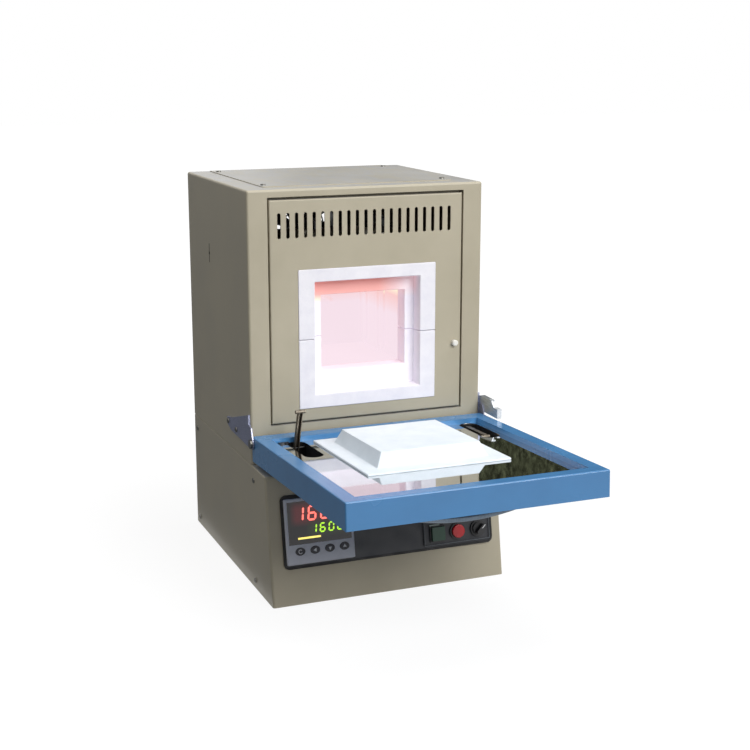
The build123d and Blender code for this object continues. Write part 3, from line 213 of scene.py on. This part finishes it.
def mouth_board(name, face, shade, throat):
    """The same board round the mouth: inside the mouth it carries painted glow, the chamber's red light painted into
    its colour and given off as its own light, reddest at the top left.
    """
    material = fibre_board(name, face, shade)
    tree = material.node_tree
    shader = principled(material)
    place = object_place(tree)
    split = add_node(tree, "ShaderNodeSeparateXYZ", {"Vector": place})
    high = throat[1]
    # full in the rebate, nothing on the front face
    depth = levels(tree, split.outputs["Y"], 0.0, 1.0, 0.004, 0.016)
    over = levels(tree, split.outputs["Z"], 0.0, 1.0, high.z - 0.011, high.z + 0.005)
    # the painted glow fades towards the right, where the heat is hidden
    beside = levels(tree, split.outputs["X"], 1.0, 0.1, high.x * 0.3, high.x * 0.85)
    painted_glow_share = product(tree, depth, beside)
    # painted glow: a pale band under the roof's edge and red light above it, blended into the board's colour
    painted_glow_tint = shades(tree, over, (0.0, face), (0.3, "#FFF1DA"), (0.75, "#F6B9B1"))
    own = shader.inputs["Base Color"].links[0].from_socket
    tree.links.new(blend(tree, painted_glow_share, own, painted_glow_tint), shader.inputs["Base Color"])
    # painted glow: the rebate gives off its own lavender to red light, which also lifts its shaded walls
    tree.links.new(levels(tree, depth, 0.0, 0.14), shader.inputs["Emission Strength"])
    tree.links.new(shades(tree, over, (0.0, "#DCC8E0"), (1.0, "#F58E86")), shader.inputs["Emission Color"])
    return material


def glowing(name, body, stops, strength, low_mm, high_mm, grain_mm=6.0):
    """A piece at working heat, drawn with painted glow: it gives off its own light, in fixed colours from its foot at
    low_mm to high_mm.
    """
    material, tree, output = new_material(name)
    place = object_place(tree)
    split = add_node(tree, "ShaderNodeSeparateXYZ", {"Vector": place})
    rise = levels(tree, split.outputs["Z"], 0.0, 1.0, low_mm * MM, high_mm * MM)
    heat = shades(tree, rise, *stops)
    mat = add_node(tree, "ShaderNodeTexNoise", {
        "Vector": place, "Scale": grains(grain_mm), "Detail": 5.0, "Roughness": 0.65})
    bump = add_node(tree, "ShaderNodeBump", {"Height": mat.outputs["Fac"], "Strength": 0.3, "Distance": 0.0005})
    shader = add_node(tree, "ShaderNodeBsdfPrincipled", {
        "Base Color": linear(body), "Roughness": 0.9, "IOR": 1.4, "Emission Color": heat,
        "Emission Strength": strength, "Normal": bump.outputs["Normal"]})
    tree.links.new(shader.outputs["BSDF"], output.inputs["Surface"])
    return material


def metal(name, face, shade, roughness, grain_mm=0.8, stretch=(1, 1, 1), depth=0.05):
    """A bare or plated metal, rolled, turned or polished; its grain runs along the axis with the smallest stretch."""
    material, tree, output = new_material(name)
    place = object_place(tree)
    run = add_node(tree, "ShaderNodeMapping", {"Vector": place, "Scale": stretch})
    grain = add_node(tree, "ShaderNodeTexNoise", {
        "Vector": run.outputs["Vector"], "Scale": grains(grain_mm), "Detail": 4.0})
    smear = add_node(tree, "ShaderNodeTexNoise", {"Vector": place, "Scale": grains(35), "Detail": 3.0})
    tone = shades(tree, grain.outputs["Fac"], (0.3, shade), (0.7, face))
    gloss = levels(tree, smear.outputs["Fac"], roughness * 0.75, roughness * 1.3, 0.3, 0.7)
    bump = add_node(tree, "ShaderNodeBump", {"Height": grain.outputs["Fac"], "Strength": depth, "Distance": 0.0002})
    shader = add_node(tree, "ShaderNodeBsdfPrincipled", {
        "Base Color": tone, "Metallic": 1.0, "Roughness": gloss, "Normal": bump.outputs["Normal"]})
    tree.links.new(shader.outputs["BSDF"], output.inputs["Surface"])
    return material


def polymer(name, face, shade, roughness, grain_mm=1.5, depth=0.12, coat=0.0, ior=1.5):
    """A moulded plastic or rubber: an even body colour, the mould's eroded grain and a little wear in the gloss."""
    material, tree, output = new_material(name)
    place = object_place(tree)
    grain = add_node(tree, "ShaderNodeTexNoise", {"Vector": place, "Scale": grains(grain_mm), "Detail": 3.0})
    patch = add_node(tree, "ShaderNodeTexNoise", {"Vector": place, "Scale": grains(18), "Detail": 3.0})
    tone = shades(tree, patch.outputs["Fac"], (0.3, shade), (0.7, face))
    gloss = levels(tree, patch.outputs["Fac"], roughness * 0.85, roughness * 1.15, 0.3, 0.7)
    bump = add_node(tree, "ShaderNodeBump", {"Height": grain.outputs["Fac"], "Strength": depth, "Distance": 0.0001})
    shader = add_node(tree, "ShaderNodeBsdfPrincipled", {
        "Base Color": tone, "Roughness": gloss, "IOR": ior, "Coat Weight": coat, "Coat Roughness": 0.08,
        "Normal": bump.outputs["Normal"]})
    tree.links.new(shader.outputs["BSDF"], output.inputs["Surface"])
    return material


def lit_segment(name, colour, strength):
    """A lit bar of a light-emitting display: a saturated core with a faint uneven glow."""
    material, tree, output = new_material(name)
    place = object_place(tree)
    patch = add_node(tree, "ShaderNodeTexNoise", {"Vector": place, "Scale": grains(4), "Detail": 2.0})
    glow = levels(tree, patch.outputs["Fac"], strength * 0.85, strength * 1.1, 0.3, 0.7)
    shader = add_node(tree, "ShaderNodeBsdfPrincipled", {
        "Base Color": linear(colour), "Roughness": 0.3, "Emission Color": linear(colour), "Emission Strength": glow})
    tree.links.new(shader.outputs["BSDF"], output.inputs["Surface"])
    return material


def dress(material, *nodes):
    """Gives the CAD nodes this material, whole."""
    for name in nodes:
        node = frame["nodes"][name]
        node.data.materials.clear()
        node.data.materials.append(material)


# ---------------------------------------------------------------- mesh helpers
def new_piece(name, mesh_data, material, body):
    """A piece from a bmesh, with its material, on its body."""
    mesh = bpy.data.meshes.new(name)
    mesh_data.normal_update()
    mesh_data.to_mesh(mesh)
    mesh_data.free()
    piece = bpy.data.objects.new(name, mesh)
    bpy.context.collection.objects.link(piece)
    mesh.materials.append(material)
    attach(piece, body)
    return piece


def slab(mesh_data, corners, out, thickness):
    """A prism on a loop of corners, raised by thickness metres along out."""
    base = [mesh_data.verts.new(corner) for corner in corners]
    top = [mesh_data.verts.new(corner + out * thickness) for corner in corners]
    count = len(corners)
    mesh_data.faces.new(list(reversed(base)))
    mesh_data.faces.new(top)
    for i in range(count):
        mesh_data.faces.new((base[i], base[(i + 1) % count], top[(i + 1) % count], top[i]))


def rounded_copy(node, name, width_mm, segments=3):
    """A copy of a CAD node's solid with its sharp edges rounded, standing in the same place."""
    source = frame["nodes"][node].data
    mesh_data = bmesh.new()
    mesh_data.from_mesh(source)
    bmesh.ops.remove_doubles(mesh_data, verts=mesh_data.verts, dist=1e-6)
    bmesh.ops.dissolve_limit(mesh_data, angle_limit=math.radians(1), verts=mesh_data.verts, edges=mesh_data.edges)
    mesh = bpy.data.meshes.new(name)
    mesh_data.to_mesh(mesh)
    mesh_data.free()
    piece = bpy.data.objects.new(name, mesh)
    bpy.context.collection.objects.link(piece)
    bevel = piece.modifiers.new("rounded edges", "BEVEL")
    bevel.width = width_mm * MM
    bevel.segments = segments
    bevel.limit_method = "ANGLE"
    bevel.angle_limit = math.radians(25)
    bevel.harden_normals = True
    return piece


# ---------------------------------------------------------------- seven-segment figures
SEGMENTS = {"1": "bc", "6": "acdefg", "0": "abcdef"}
# left, foot, height, width, stroke and pitch of each row, in millimetres
RED_ROW = (-139.6, 116.6, 21.3, 12.9, 2.7, 18.5)
GREEN_ROW = (-117.3, 98.5, 13.5, 8.6, 2.0, 12.9)
# the bar of light and the label, each from (left, foot) to (right, top), in millimetres
LEVEL_BAR = (-136.0, 92.0, -103.0, 94.6)
SWITCH_LABEL = (61.0, 85.4, 77.0, 87.8)


def figure_outlines(figure, height, width, stroke, lean):
    """The lit bars of one seven-segment figure, each a six-cornered outline in (x, rise) millimetres."""
    half, gap = stroke / 2, 0.35
    left, right, bottom, middle, top = half, width - half, half, height / 2, height - half
    ends = {"a": ((left, top), (right, top)), "b": ((right, middle), (right, top)),
            "c": ((right, bottom), (right, middle)), "d": ((left, bottom), (right, bottom)),
            "e": ((left, bottom), (left, middle)), "f": ((left, middle), (left, top)),
            "g": ((left, middle), (right, middle))}
    outlines = []
    for key in SEGMENTS[figure]:
        (x0, y0), (x1, y1) = ends[key]
        run = Vector((x1 - x0, y1 - y0)).normalized()
        side = Vector((-run.y, run.x)) * half
        start, end = Vector((x0, y0)) + run * gap, Vector((x1, y1)) - run * gap
        inner, outer = start + run * half, end - run * half
        corners = [start, inner - side, outer - side, end, outer + side, inner + side]
        outlines.append([(c.x + c.y * math.tan(lean), c.y) for c in corners])
    return outlines


class FurnaceFinish(bpy.types.PropertyGroup):
    casing: StringProperty(
        name="Casing", description="Powder coat of the casing, as an sRGB hex code", default="#B4AC97")
    casing_shade: StringProperty(
        name="Casing shade", description="Deeper drift of the casing's coat", default="#ABA38E")
    door: StringProperty(
        name="Door", description="Powder coat of the door, as an sRGB hex code", default="#4C86BA")
    door_shade: StringProperty(
        name="Door shade", description="Deeper drift of the door's coat", default="#457DB0")
    edge_rounding: FloatProperty(
        name="Board edges", description="Rounding of the fibre board's edges, in millimetres",
        default=1.2, min=0.2, max=3.0)
    heat: FloatProperty(name="Heat", description="Light that the hot lining gives off", default=1.0, min=0.0, max=5.0)


class FurnaceStage(bpy.types.PropertyGroup):
    camera_place: FloatVectorProperty(name="Camera", description="Where the camera stands", subtype="TRANSLATION",
                                      default=(-0.72507, -1.83068, 0.75669), unit="LENGTH")
    camera_pitch: FloatProperty(name="Pitch", description="Camera's tilt from straight down", subtype="ANGLE",
                                default=math.radians(76.82))
    camera_heading: FloatProperty(name="Heading", description="Camera's turn about the vertical", subtype="ANGLE",
                                  default=math.radians(-21.89))
    lens: FloatProperty(name="Lens", description="Focal length in millimetres", default=67.8, min=20, max=200)


class FURNACE_OT_casing(bpy.types.Operator):
    """Paints the casings and covers and their screws"""
    bl_idname = "furnace.casing"
    bl_label = "Casing"

    def execute(self, context):
        finish = context.scene.furnace_finish
        # baked polyester powder on folded sheet: satin, slightly pebbled
        coat = powder_coat("beige powder coat", finish.casing, finish.casing_shade, upward_grey="#A9A8A6")
        dress(coat, "upper_casing", "front_panel", "top_cover", "rear_cover", "base_casing", "base_rear_panel")
        # dulled zinc plate on turned steel
        zinc = metal("zinc-plated steel", "#7F7D77", "#63615C", 0.42)
        dress(zinc, "top_cover_screws", "rear_cover_screws", "side_screws", "hinge_pins")
        # hot-dip galvanised sheet, left bare inside
        dress(metal("galvanised sheet", "#5E6163", "#484B4E", 0.55, grain_mm=9), "inner_shell", "base_pan")
        self.port()
        return {"FINISHED"}

    def port(self):
        """The narrow slot in the upper casing's left side, drawn as a thin dark film of painted shade."""
        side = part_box("upper_casing")[0].x - 0.05 * MM
        middle_y, middle_z = 195, 455
        mesh_data = bmesh.new()
        # an upright slot, crossed at its middle by a short one
        for half_y, half_z in ((0.9, 14.0), (2.2, 2.0)):
            corners = [Vector((side, (middle_y + y * half_y) * MM, (middle_z + z * half_z) * MM))
                       for y, z in ((-1, -1), (-1, 1), (1, 1), (1, -1))]
            slab(mesh_data, corners, Vector((-1, 0, 0)), 0.15 * MM)
        # painted shade: the dark inside of the slot, laid on the wall
        dark = polymer("painted slot shade", "#1B1B1A", "#121211", 0.8)
        new_piece("side_slot_shade", mesh_data, dark, "furnace")


class FURNACE_OT_mouth(bpy.types.Operator):
    """Makes the mouth blocks and the hot lining behind them"""
    bl_idname = "furnace.mouth"
    bl_label = "Mouth and chamber"

    def execute(self, context):
        finish = context.scene.furnace_finish
        board = mouth_board("alumina fibre board", "#F3F1F6", "#E9E7EF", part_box("chamber_walls"))
        for half in ("lower", "upper"):
            node = f"mouth_block_{half}"
            block = rounded_copy(node, f"mouth_board_{half}", finish.edge_rounding)
            block.data.materials.append(board)
            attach(block, "furnace")
            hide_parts(node)
        low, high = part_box("chamber_walls")
        span = (finish.heat, low.z / MM, high.z / MM)
        # painted glow: pale low down, warmer towards the roof and palest along the roof's edge, over a dark body
        unlit = "#3E3A3E"
        heat = ((0.0, "#F0DDE6"), (0.6, "#F0DDE6"), (0.86, "#F3C8C6"), (0.95, "#FFF2D6"))
        dress(glowing("glowing fibre board", unlit, heat, *span), "chamber_walls", "chamber_floor")
        # painted glow: the roof gives off an even red light
        dress(glowing("glowing roof board", unlit, ((0.0, "#E5827A"), (1.0, "#E5827A")), *span), "chamber_roof")
        dress(fibre_board("insulating fibre board", "#DAD5CB", "#C9C3B7"), "insulation_floor", "insulation_roof",
              "insulation_walls", "door_insulation")
        dress(polymer("sintered alumina", "#E9E4D8", "#DCD6C8", 0.55), "element_holders")
        # painted glow: glassy rods as bright as the walls behind them, so that they don't show against them, and dark
        # above the roof
        dress(glowing("hot molybdenum disilicide", unlit, (*heat, (1.0, "#000000")), *span, grain_mm=3.0),
              "heating_elements")
        dress(glowing("hot alumina sheath", unlit, heat, *span, grain_mm=3.0), "thermocouple")
        dress(metal("rolled aluminium", "#66686B", "#515356", 0.6), "element_leads", "power_regulator")
        return {"FINISHED"}


class FURNACE_OT_door(bpy.types.Operator):
    """Finishes the drop-down door, its polished plate, fibre plug, pockets, links, hinges and handle"""
    bl_idname = "furnace.door"
    bl_label = "Door"

    def execute(self, context):
        finish = context.scene.furnace_finish
        coat = powder_coat("blue powder coat", finish.door, finish.door_shade, roughness=0.24)
        dress(coat, "door_frame", "door_skin")
        # bright-annealed stainless sheet, mirror polished: dark where it sees dark
        dress(metal("mirror-polished stainless steel", "#DCDDDE", "#D4D5D7", 0.04, grain_mm=60, depth=0.02),
              "door_mirror_plate")
        plug = rounded_copy("door_plug", "plug_board", finish.edge_rounding)
        plug.data.materials.append(fibre_board("alumina fibre plug", "#E4ECF3", "#DCE5EC"))
        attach(plug, "door")
        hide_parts("door_plug")
        dress(polymer("black stove enamel", "#141416", "#0C0C0E", 0.5), "link_pockets", "fan_guard")
        along = (1, 0.08, 1)        # brushed from the front to the back
        # pressed from brushed strip, then browned by the heat that comes off the open door
        dress(metal("heat-tinted stainless steel", "#8A8276", "#5C554B", 0.48, grain_mm=1.2, stretch=along, depth=0.12),
              "stay_link_left", "stay_link_right")
        dress(metal("brushed stainless steel", "#DDE1E5", "#B4B9BE", 0.48, grain_mm=1.2, stretch=along, depth=0.12),
              "stay_bracket")
        # zinc on flat plate; its blue tint is a painted reflection of the bluish surround at the sides
        dress(metal("zinc plate with painted blue reflection", "#ADAFC0", "#888A9C", 0.54, grain_mm=1.6, depth=0.12),
              "hinge_plate_left", "hinge_plate_right")
        # steel bar; its blue-grey tint is a painted reflection of the blue door over it
        dress(metal("steel bar with painted blue reflection", "#6E7A86", "#56616C", 0.5, grain_mm=1.2, depth=0.1), "door_handle")
        self.clip()
        dress(metal("turned brass", "#C9A463", "#B08D50", 0.3), "hinge_bushes")
        dress(polymer("white acetal", "#EDEBE4", "#E4E1D8", 0.35), "door_switch_plunger")
        return {"FINISHED"}

    def clip(self):
        """The small black spring clip on the plate beside the left link's pocket."""
        mesh_data = bmesh.new()
        for x0, x1, v0, v1, thick in ((-148, -134, 31, 34, 2.0), (-148, -145, 31, 41, 1.4), (-139, -136, 28, 38, 1.4)):
            corners = [on_door(x, v, plate_face) for x, v in ((x0, v1), (x1, v1), (x1, v0), (x0, v0))]
            slab(mesh_data, corners, door_out, thick * MM)
        black = polymer("blackened spring steel", "#1C1E22", "#121317", 0.4)
        new_piece("link_clip", mesh_data, black, "door")


class FURNACE_OT_controls(bpy.types.Operator):
    """Finishes the control strip and makes the lit figures, key marks and switch label"""
    bl_idname = "furnace.controls"
    bl_label = "Controls"

    def execute(self, context):
        dress(polymer("black neoprene", "#101011", "#0A0A0B", 0.75, depth=0.3), "control_gasket")
        dress(polymer("dark polyester film", "#24262B", "#1F2126", 0.55), "control_fascia", "switch_panel")
        # grey ABS, painted paler to make up for the door's shade over the control strip
        dress(polymer("grey ABS with painted light", "#CDD0DA", "#C2C5D0", 0.5), "controller_case")
        dress(self.lens(), "display_lens")
        dress(polymer("black silicone rubber", "#20222A", "#181A20", 0.6), "key_set", "key_left", "key_down", "key_up")
        dress(polymer("green polycarbonate", "#103A28", "#0D3021", 0.4), "green_button")
        dress(polymer("red polycarbonate", "#D0101F", "#B80B18", 0.3, coat=0.2), "red_button")
        dress(polymer("black polyamide", "#121216", "#0B0B0E", 0.45), "selector_knob", "switch_bodies", "door_switch",
              "cable_gland", "terminal_block", "fan_housing", "fan_rotor")
        dress(polymer("varnished laminations", "#4A352A", "#33241D", 0.4), "transformer")
        self.figures("1600", *RED_ROW, "red_figures", lit_segment("red light segment", "#FF7468", 1.6))
        self.figures("1600", *GREEN_ROW, "green_figures", lit_segment("green light segment", "#B4F03C", 1.2))
        amber = lit_segment("amber light bar", "#FFE978", 1.2)
        self.plate("level_bar", LEVEL_BAR, lens_face + film, amber, "dark_lens")
        pale = polymer("pale label film", "#8E9A92", "#848F88", 0.5)
        self.plate("switch_label", SWITCH_LABEL, label_face, pale, "white_plastic")
        self.trim()
        self.marks()
        self.pointer()
        return {"FINISHED"}

    def lens(self):
        """Smoked polycarbonate, tinted by the light that spreads from the figures behind it."""
        material = polymer("smoked polycarbonate", "#1D1A1F", "#18151A", 0.2, depth=0.02, coat=0.15)
        tree = material.node_tree
        shader = principled(material)
        place = add_node(tree, "ShaderNodeSeparateXYZ", {"Vector": object_place(tree)})
        # the light is full to a little inside a row's edge, and gone a little outside it
        inside, outside = 3, 7
        glow = (0, 0, 0, 1)
        for (left, foot, height, width, _, pitch), colour in ((RED_ROW, "#46070D"), (GREEN_ROW, "#162408")):
            middle = on_slope(left + 1.5 * pitch + width / 2, foot + height / 2, lens_face)
            share = None
            for axis, centre, half in (("X", middle.x, 1.5 * pitch + width / 2), ("Z", middle.z, height / 2)):
                offset = add_node(tree, "ShaderNodeMath", {0: place.outputs[axis], 1: centre}, operation="SUBTRACT")
                away = add_node(tree, "ShaderNodeMath", {0: offset.outputs[0]}, operation="ABSOLUTE").outputs[0]
                near = levels(tree, away, 1.0, 0.0, (half - inside) * MM, (half + outside) * MM)
                share = near if share is None else product(tree, share, near)
            glow = blend(tree, share, glow, linear(colour))
        tree.links.new(glow, shader.inputs["Emission Color"])
        shader.inputs["Emission Strength"].default_value = 1.0
        return material

    def figures(self, text, left, foot, height, width, stroke, pitch, name, material):
        """A row of seven-segment figures just over the lens."""
        mesh_data = bmesh.new()
        for place, figure in enumerate(text):
            for outline in figure_outlines(figure, height, width, stroke, math.radians(6)):
                slab(mesh_data, [on_slope(left + place * pitch + x, foot + y, lens_face + film) for x, y in outline],
                     slope_out, 0.15 * MM)
        new_piece(name, mesh_data, material, "furnace")

    def plate(self, name, box, height, material, slot):
        """A thin rectangle on the control strip, from (left, foot) to (right, top) in millimetres."""
        left, foot, right, top = box
        mesh_data = bmesh.new()
        slab(mesh_data, [on_slope(x, y, height) for x, y in ((left, foot), (right, foot), (right, top), (left, top))],
             slope_out, 0.15 * MM)
        new_piece(name, mesh_data, material, "furnace")

    def trim(self):
        """The pale line round the switches' panel."""
        left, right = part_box("switch_panel")[0].x / MM - 0.2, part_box("switch_panel")[1].x / MM + 0.2
        foot, top, line = 57.6, 98.4, 0.7
        mesh_data = bmesh.new()
        for x0, y0, x1, y1 in ((left, foot, left + line, top), (left, foot, right, foot + line),
                               (right - line, foot, right, top), (left, top - line, right, top)):
            slab(mesh_data, [on_slope(x, y, fascia_face + film) for x, y in ((x0, y0), (x1, y0), (x1, y1), (x0, y1))],
                 slope_out, 1.6 * MM)
        grey = polymer("grey edge film", "#5E646A", "#555A60", 0.45)
        new_piece("switch_trim", mesh_data, grey, "furnace")

    def marks(self):
        """The white marks on the keys."""
        white = polymer("white screen ink", "#E8E8EA", "#DADADD", 0.5, depth=0.02)
        turns = {"left": math.pi / 2, "down": math.pi, "up": 0.0}
        size = 3.1
        for key in ("set", "left", "down", "up"):
            low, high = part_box(f"key_{key}")
            middle = (low + high) / 2 - slope_foot
            x, rise = middle.x / MM, middle.dot(slope_up) / MM
            face = max((Vector(corner) - slope_foot).dot(slope_out)
                       for corner in (v.co for v in frame["nodes"][f"key_{key}"].data.vertices)) / MM + 0.01
            mesh_data = bmesh.new()
            if key == "set":
                # an open ring, in 15 degree steps
                ring = [(size * math.cos(a), size * math.sin(a))
                        for a in (math.radians(40 + 15 * k) for k in range(20))]
                for (x0, y0), (x1, y1) in zip(ring, ring[1:]):
                    slab(mesh_data, [on_slope(x + px * share, rise + py * share, face) for px, py, share in
                                     ((x0, y0, 0.7), (x1, y1, 0.7), (x1, y1, 1), (x0, y0, 1))], slope_out, 0.1 * MM)
            else:
                corners = [(size * math.cos(a), size * math.sin(a))
                           for a in (turns[key] + math.pi / 2 + k * 2 * math.pi / 3 for k in range(3))]
                slab(mesh_data, [on_slope(x + px, rise + py, face) for px, py in corners], slope_out, 0.1 * MM)
            new_piece(f"{key}_mark", mesh_data, white, f"{key}_key")

    def pointer(self):
        """The white line on the selector's grip."""
        corners = [v.co for v in frame["nodes"]["selector_knob"].data.vertices]
        centre = Vector(joints["selector_turn"]["pos_m"])
        heights = [(corner - centre).dot(slope_out) for corner in corners]
        top = max(heights)
        grip = [corner - centre for corner, height in zip(corners, heights) if height > top - 0.2 * MM]
        tip = max(grip, key=lambda corner: corner.length)
        along = (tip - slope_out * tip.dot(slope_out)).normalized()
        if along.dot(slope_up) < 0:
            along = -along
        across = slope_out.cross(along)
        start = centre + slope_out * (top + film * MM)
        mesh_data = bmesh.new()
        near, far, half = 2, 8.6, 0.6
        corners = [start + along * a * MM + across * c * MM
                   for a, c in ((near, half), (far, half), (far, -half), (near, -half))]
        slab(mesh_data, corners, slope_out, 0.1 * MM)
        white = polymer("white filled line", "#F0F0F0", "#E4E4E4", 0.4)
        new_piece("selector_line", mesh_data, white, "selector")


class FURNACE_OT_stage(bpy.types.Operator):
    """Sets the floor, the soft lights and the camera"""
    bl_idname = "furnace.stage"
    bl_label = "Studio"

    def execute(self, context):
        settings = context.scene.furnace_stage
        scene = context.scene
        camera = bpy.data.objects.new("studio_camera", bpy.data.cameras.new("studio_camera"))
        camera.data.lens = settings.lens
        camera.data.clip_start, camera.data.clip_end = 0.05, 50
        camera.matrix_world = (Matrix.Translation(Vector(settings.camera_place))
                               @ Matrix.Rotation(settings.camera_heading, 4, "Z")
                               @ Matrix.Rotation(settings.camera_pitch, 4, "X"))
        context.collection.objects.link(camera)
        scene.camera = camera
        self.floor(context)
        middle = (0, 0, 0.3)
        self.lamp(context, "key_lamp", (1.0, -2.5, 1.95), middle, 1.6, 80)
        self.lamp(context, "top_lamp", (0.35, -0.1, 2.7), middle, 1.8, 25)
        self.lamp(context, "fill_lamp", (-1.6, -0.2, 2.4), middle, 1.8, 13)
        # painted reflections: one dark card leans along the left side, and a mottled one stands behind on the right,
        # seen only in glossy surfaces
        foot = 0.002
        self.card(context, "side_reflection_card", [(-0.19, -0.7, foot), (-0.19, 2.5, foot), (-1.0, 2.5, 1.4), (-1.0, -0.7, 1.4)],
                  ("#73777D", "#7E8287"), 400)
        self.card(context, "back_reflection_card", [(0.55, 2.2, foot), (2.6, 1.0, foot), (2.6, 1.0, 1.5), (0.55, 2.2, 1.5)],
                  ("#080906", "#70755A"), 9)
        self.world(scene)
        scene.view_settings.view_transform = "Standard"
        return {"FINISHED"}

    def lamp(self, context, name, place, target, size, power):
        """A square soft box aimed at a point."""
        data = bpy.data.lights.new(name, "AREA")
        data.shape, data.size, data.energy = "SQUARE", size, power
        lamp = bpy.data.objects.new(name, data)
        lamp.location = place
        lamp.rotation_euler = (Vector(target) - Vector(place)).to_track_quat("-Z", "Y").to_euler()
        context.collection.objects.link(lamp)

    def card(self, context, name, corners, tones, patch_mm):
        """A card of painted reflection: a sheet with its own light that only glossy surfaces see, and that lights and
        shades nothing.
        """
        mesh = bpy.data.meshes.new(name)
        mesh.from_pydata(corners, [], [range(len(corners))])
        card = bpy.data.objects.new(name, mesh)
        context.collection.objects.link(card)
        material, tree, output = new_material(name)
        place = object_place(tree)
        patch = add_node(tree, "ShaderNodeTexNoise", {
            "Vector": place, "Scale": grains(patch_mm), "Detail": 4.0, "Roughness": 0.7})
        tone = shades(tree, patch.outputs["Fac"], (0.44, tones[0]), (0.66, tones[1]))
        face = add_node(tree, "ShaderNodeEmission", {"Color": tone})
        tree.links.new(face.outputs[0], output.inputs["Surface"])
        mesh.materials.append(material)
        for ray in ("camera", "diffuse", "transmission", "volume_scatter", "shadow"):
            setattr(card, f"visible_{ray}", False)

    def shown(self, tree):
        """One where the camera, a mirror or glass looks, and nothing where only light falls."""
        path = add_node(tree, "ShaderNodeLightPath").outputs
        seen = path["Is Camera Ray"]
        for other in ("Is Glossy Ray", "Is Transmission Ray"):
            seen = add_node(tree, "ShaderNodeMath", {0: seen, 1: path[other]}, operation="MAXIMUM").outputs[0]
        return seen

    def floor(self, context):
        """A floor that looks white and keeps the furnace's faint soft shadow."""
        mesh_data = bmesh.new()
        bmesh.ops.create_grid(mesh_data, x_segments=8, y_segments=8, size=12)
        mesh = bpy.data.meshes.new("studio_floor")
        mesh_data.to_mesh(mesh)
        mesh_data.free()
        floor = bpy.data.objects.new("studio_floor", mesh)
        floor.location.z = -0.0005
        context.collection.objects.link(floor)
        material, tree, output = new_material("studio paper")
        place = object_place(tree)
        tooth = add_node(tree, "ShaderNodeTexNoise", {"Vector": place, "Scale": grains(300)})
        tone = shades(tree, tooth.outputs["Fac"], (0.3, "#6C6C6C"), (0.7, "#727272"))
        # the paper's own white stands in for the light that fades with distance, so that it is even up to the horizon
        reach = add_node(tree, "ShaderNodeVectorMath", {0: place}, operation="LENGTH").outputs["Value"]
        white = product(tree, levels(tree, reach, 0.88, 1.0, 0.4, 1.2), self.shown(tree))
        paper = add_node(tree, "ShaderNodeBsdfPrincipled", {
            "Base Color": tone, "Roughness": 0.9, "Specular IOR Level": 0.0, "Emission Color": (1, 1, 1, 1),
            "Emission Strength": white})
        tree.links.new(paper.outputs["BSDF"], output.inputs["Surface"])
        mesh.materials.append(material)

    def world(self, scene):
        """A plain surround: white to the eye and to mirrors, softer as a light."""
        world = bpy.data.worlds.new("studio surround")
        world.use_nodes = True
        scene.world = world
        tree = world.node_tree
        tree.nodes.clear()
        output = tree.nodes.new("ShaderNodeOutputWorld")
        soft = add_node(tree, "ShaderNodeBackground", {"Color": (1, 1, 1, 1), "Strength": 0.23})
        plain = add_node(tree, "ShaderNodeBackground", {"Color": (1, 1, 1, 1), "Strength": 1.0})
        mix = add_node(tree, "ShaderNodeMixShader", {0: self.shown(tree), 1: soft.outputs[0], 2: plain.outputs[0]})
        tree.links.new(mix.outputs[0], output.inputs["Surface"])


class FURNACE_PT_panel(bpy.types.Panel):
    bl_idname = "FURNACE_PT_panel"
    bl_label = "Muffle furnace"
    bl_space_type = "VIEW_3D"
    bl_region_type = "UI"
    bl_category = "Furnace"

    def draw(self, context):
        for group in (context.scene.furnace_finish, context.scene.furnace_stage):
            for name in group.bl_rna.properties.keys():
                if name not in ("rna_type", "name"):
                    self.layout.prop(group, name)
        for operator in OPERATORS:
            self.layout.operator(operator.bl_idname)


OPERATORS = (FURNACE_OT_stage, FURNACE_OT_casing, FURNACE_OT_mouth, FURNACE_OT_door, FURNACE_OT_controls)
CLASSES = (FurnaceFinish, FurnaceStage, *OPERATORS, FURNACE_PT_panel)


def register():
    for each in CLASSES:
        bpy.utils.register_class(each)
    bpy.types.Scene.furnace_finish = PointerProperty(type=FurnaceFinish)
    bpy.types.Scene.furnace_stage = PointerProperty(type=FurnaceStage)


def unregister():
    del bpy.types.Scene.furnace_stage
    del bpy.types.Scene.furnace_finish
    for each in reversed(CLASSES):
        bpy.utils.unregister_class(each)


def main():
    register()
    bpy.ops.furnace.stage()
    bpy.ops.furnace.casing()
    bpy.ops.furnace.mouth()
    bpy.ops.furnace.door()
    bpy.ops.furnace.controls()


if __name__ == "__main__":
    main()
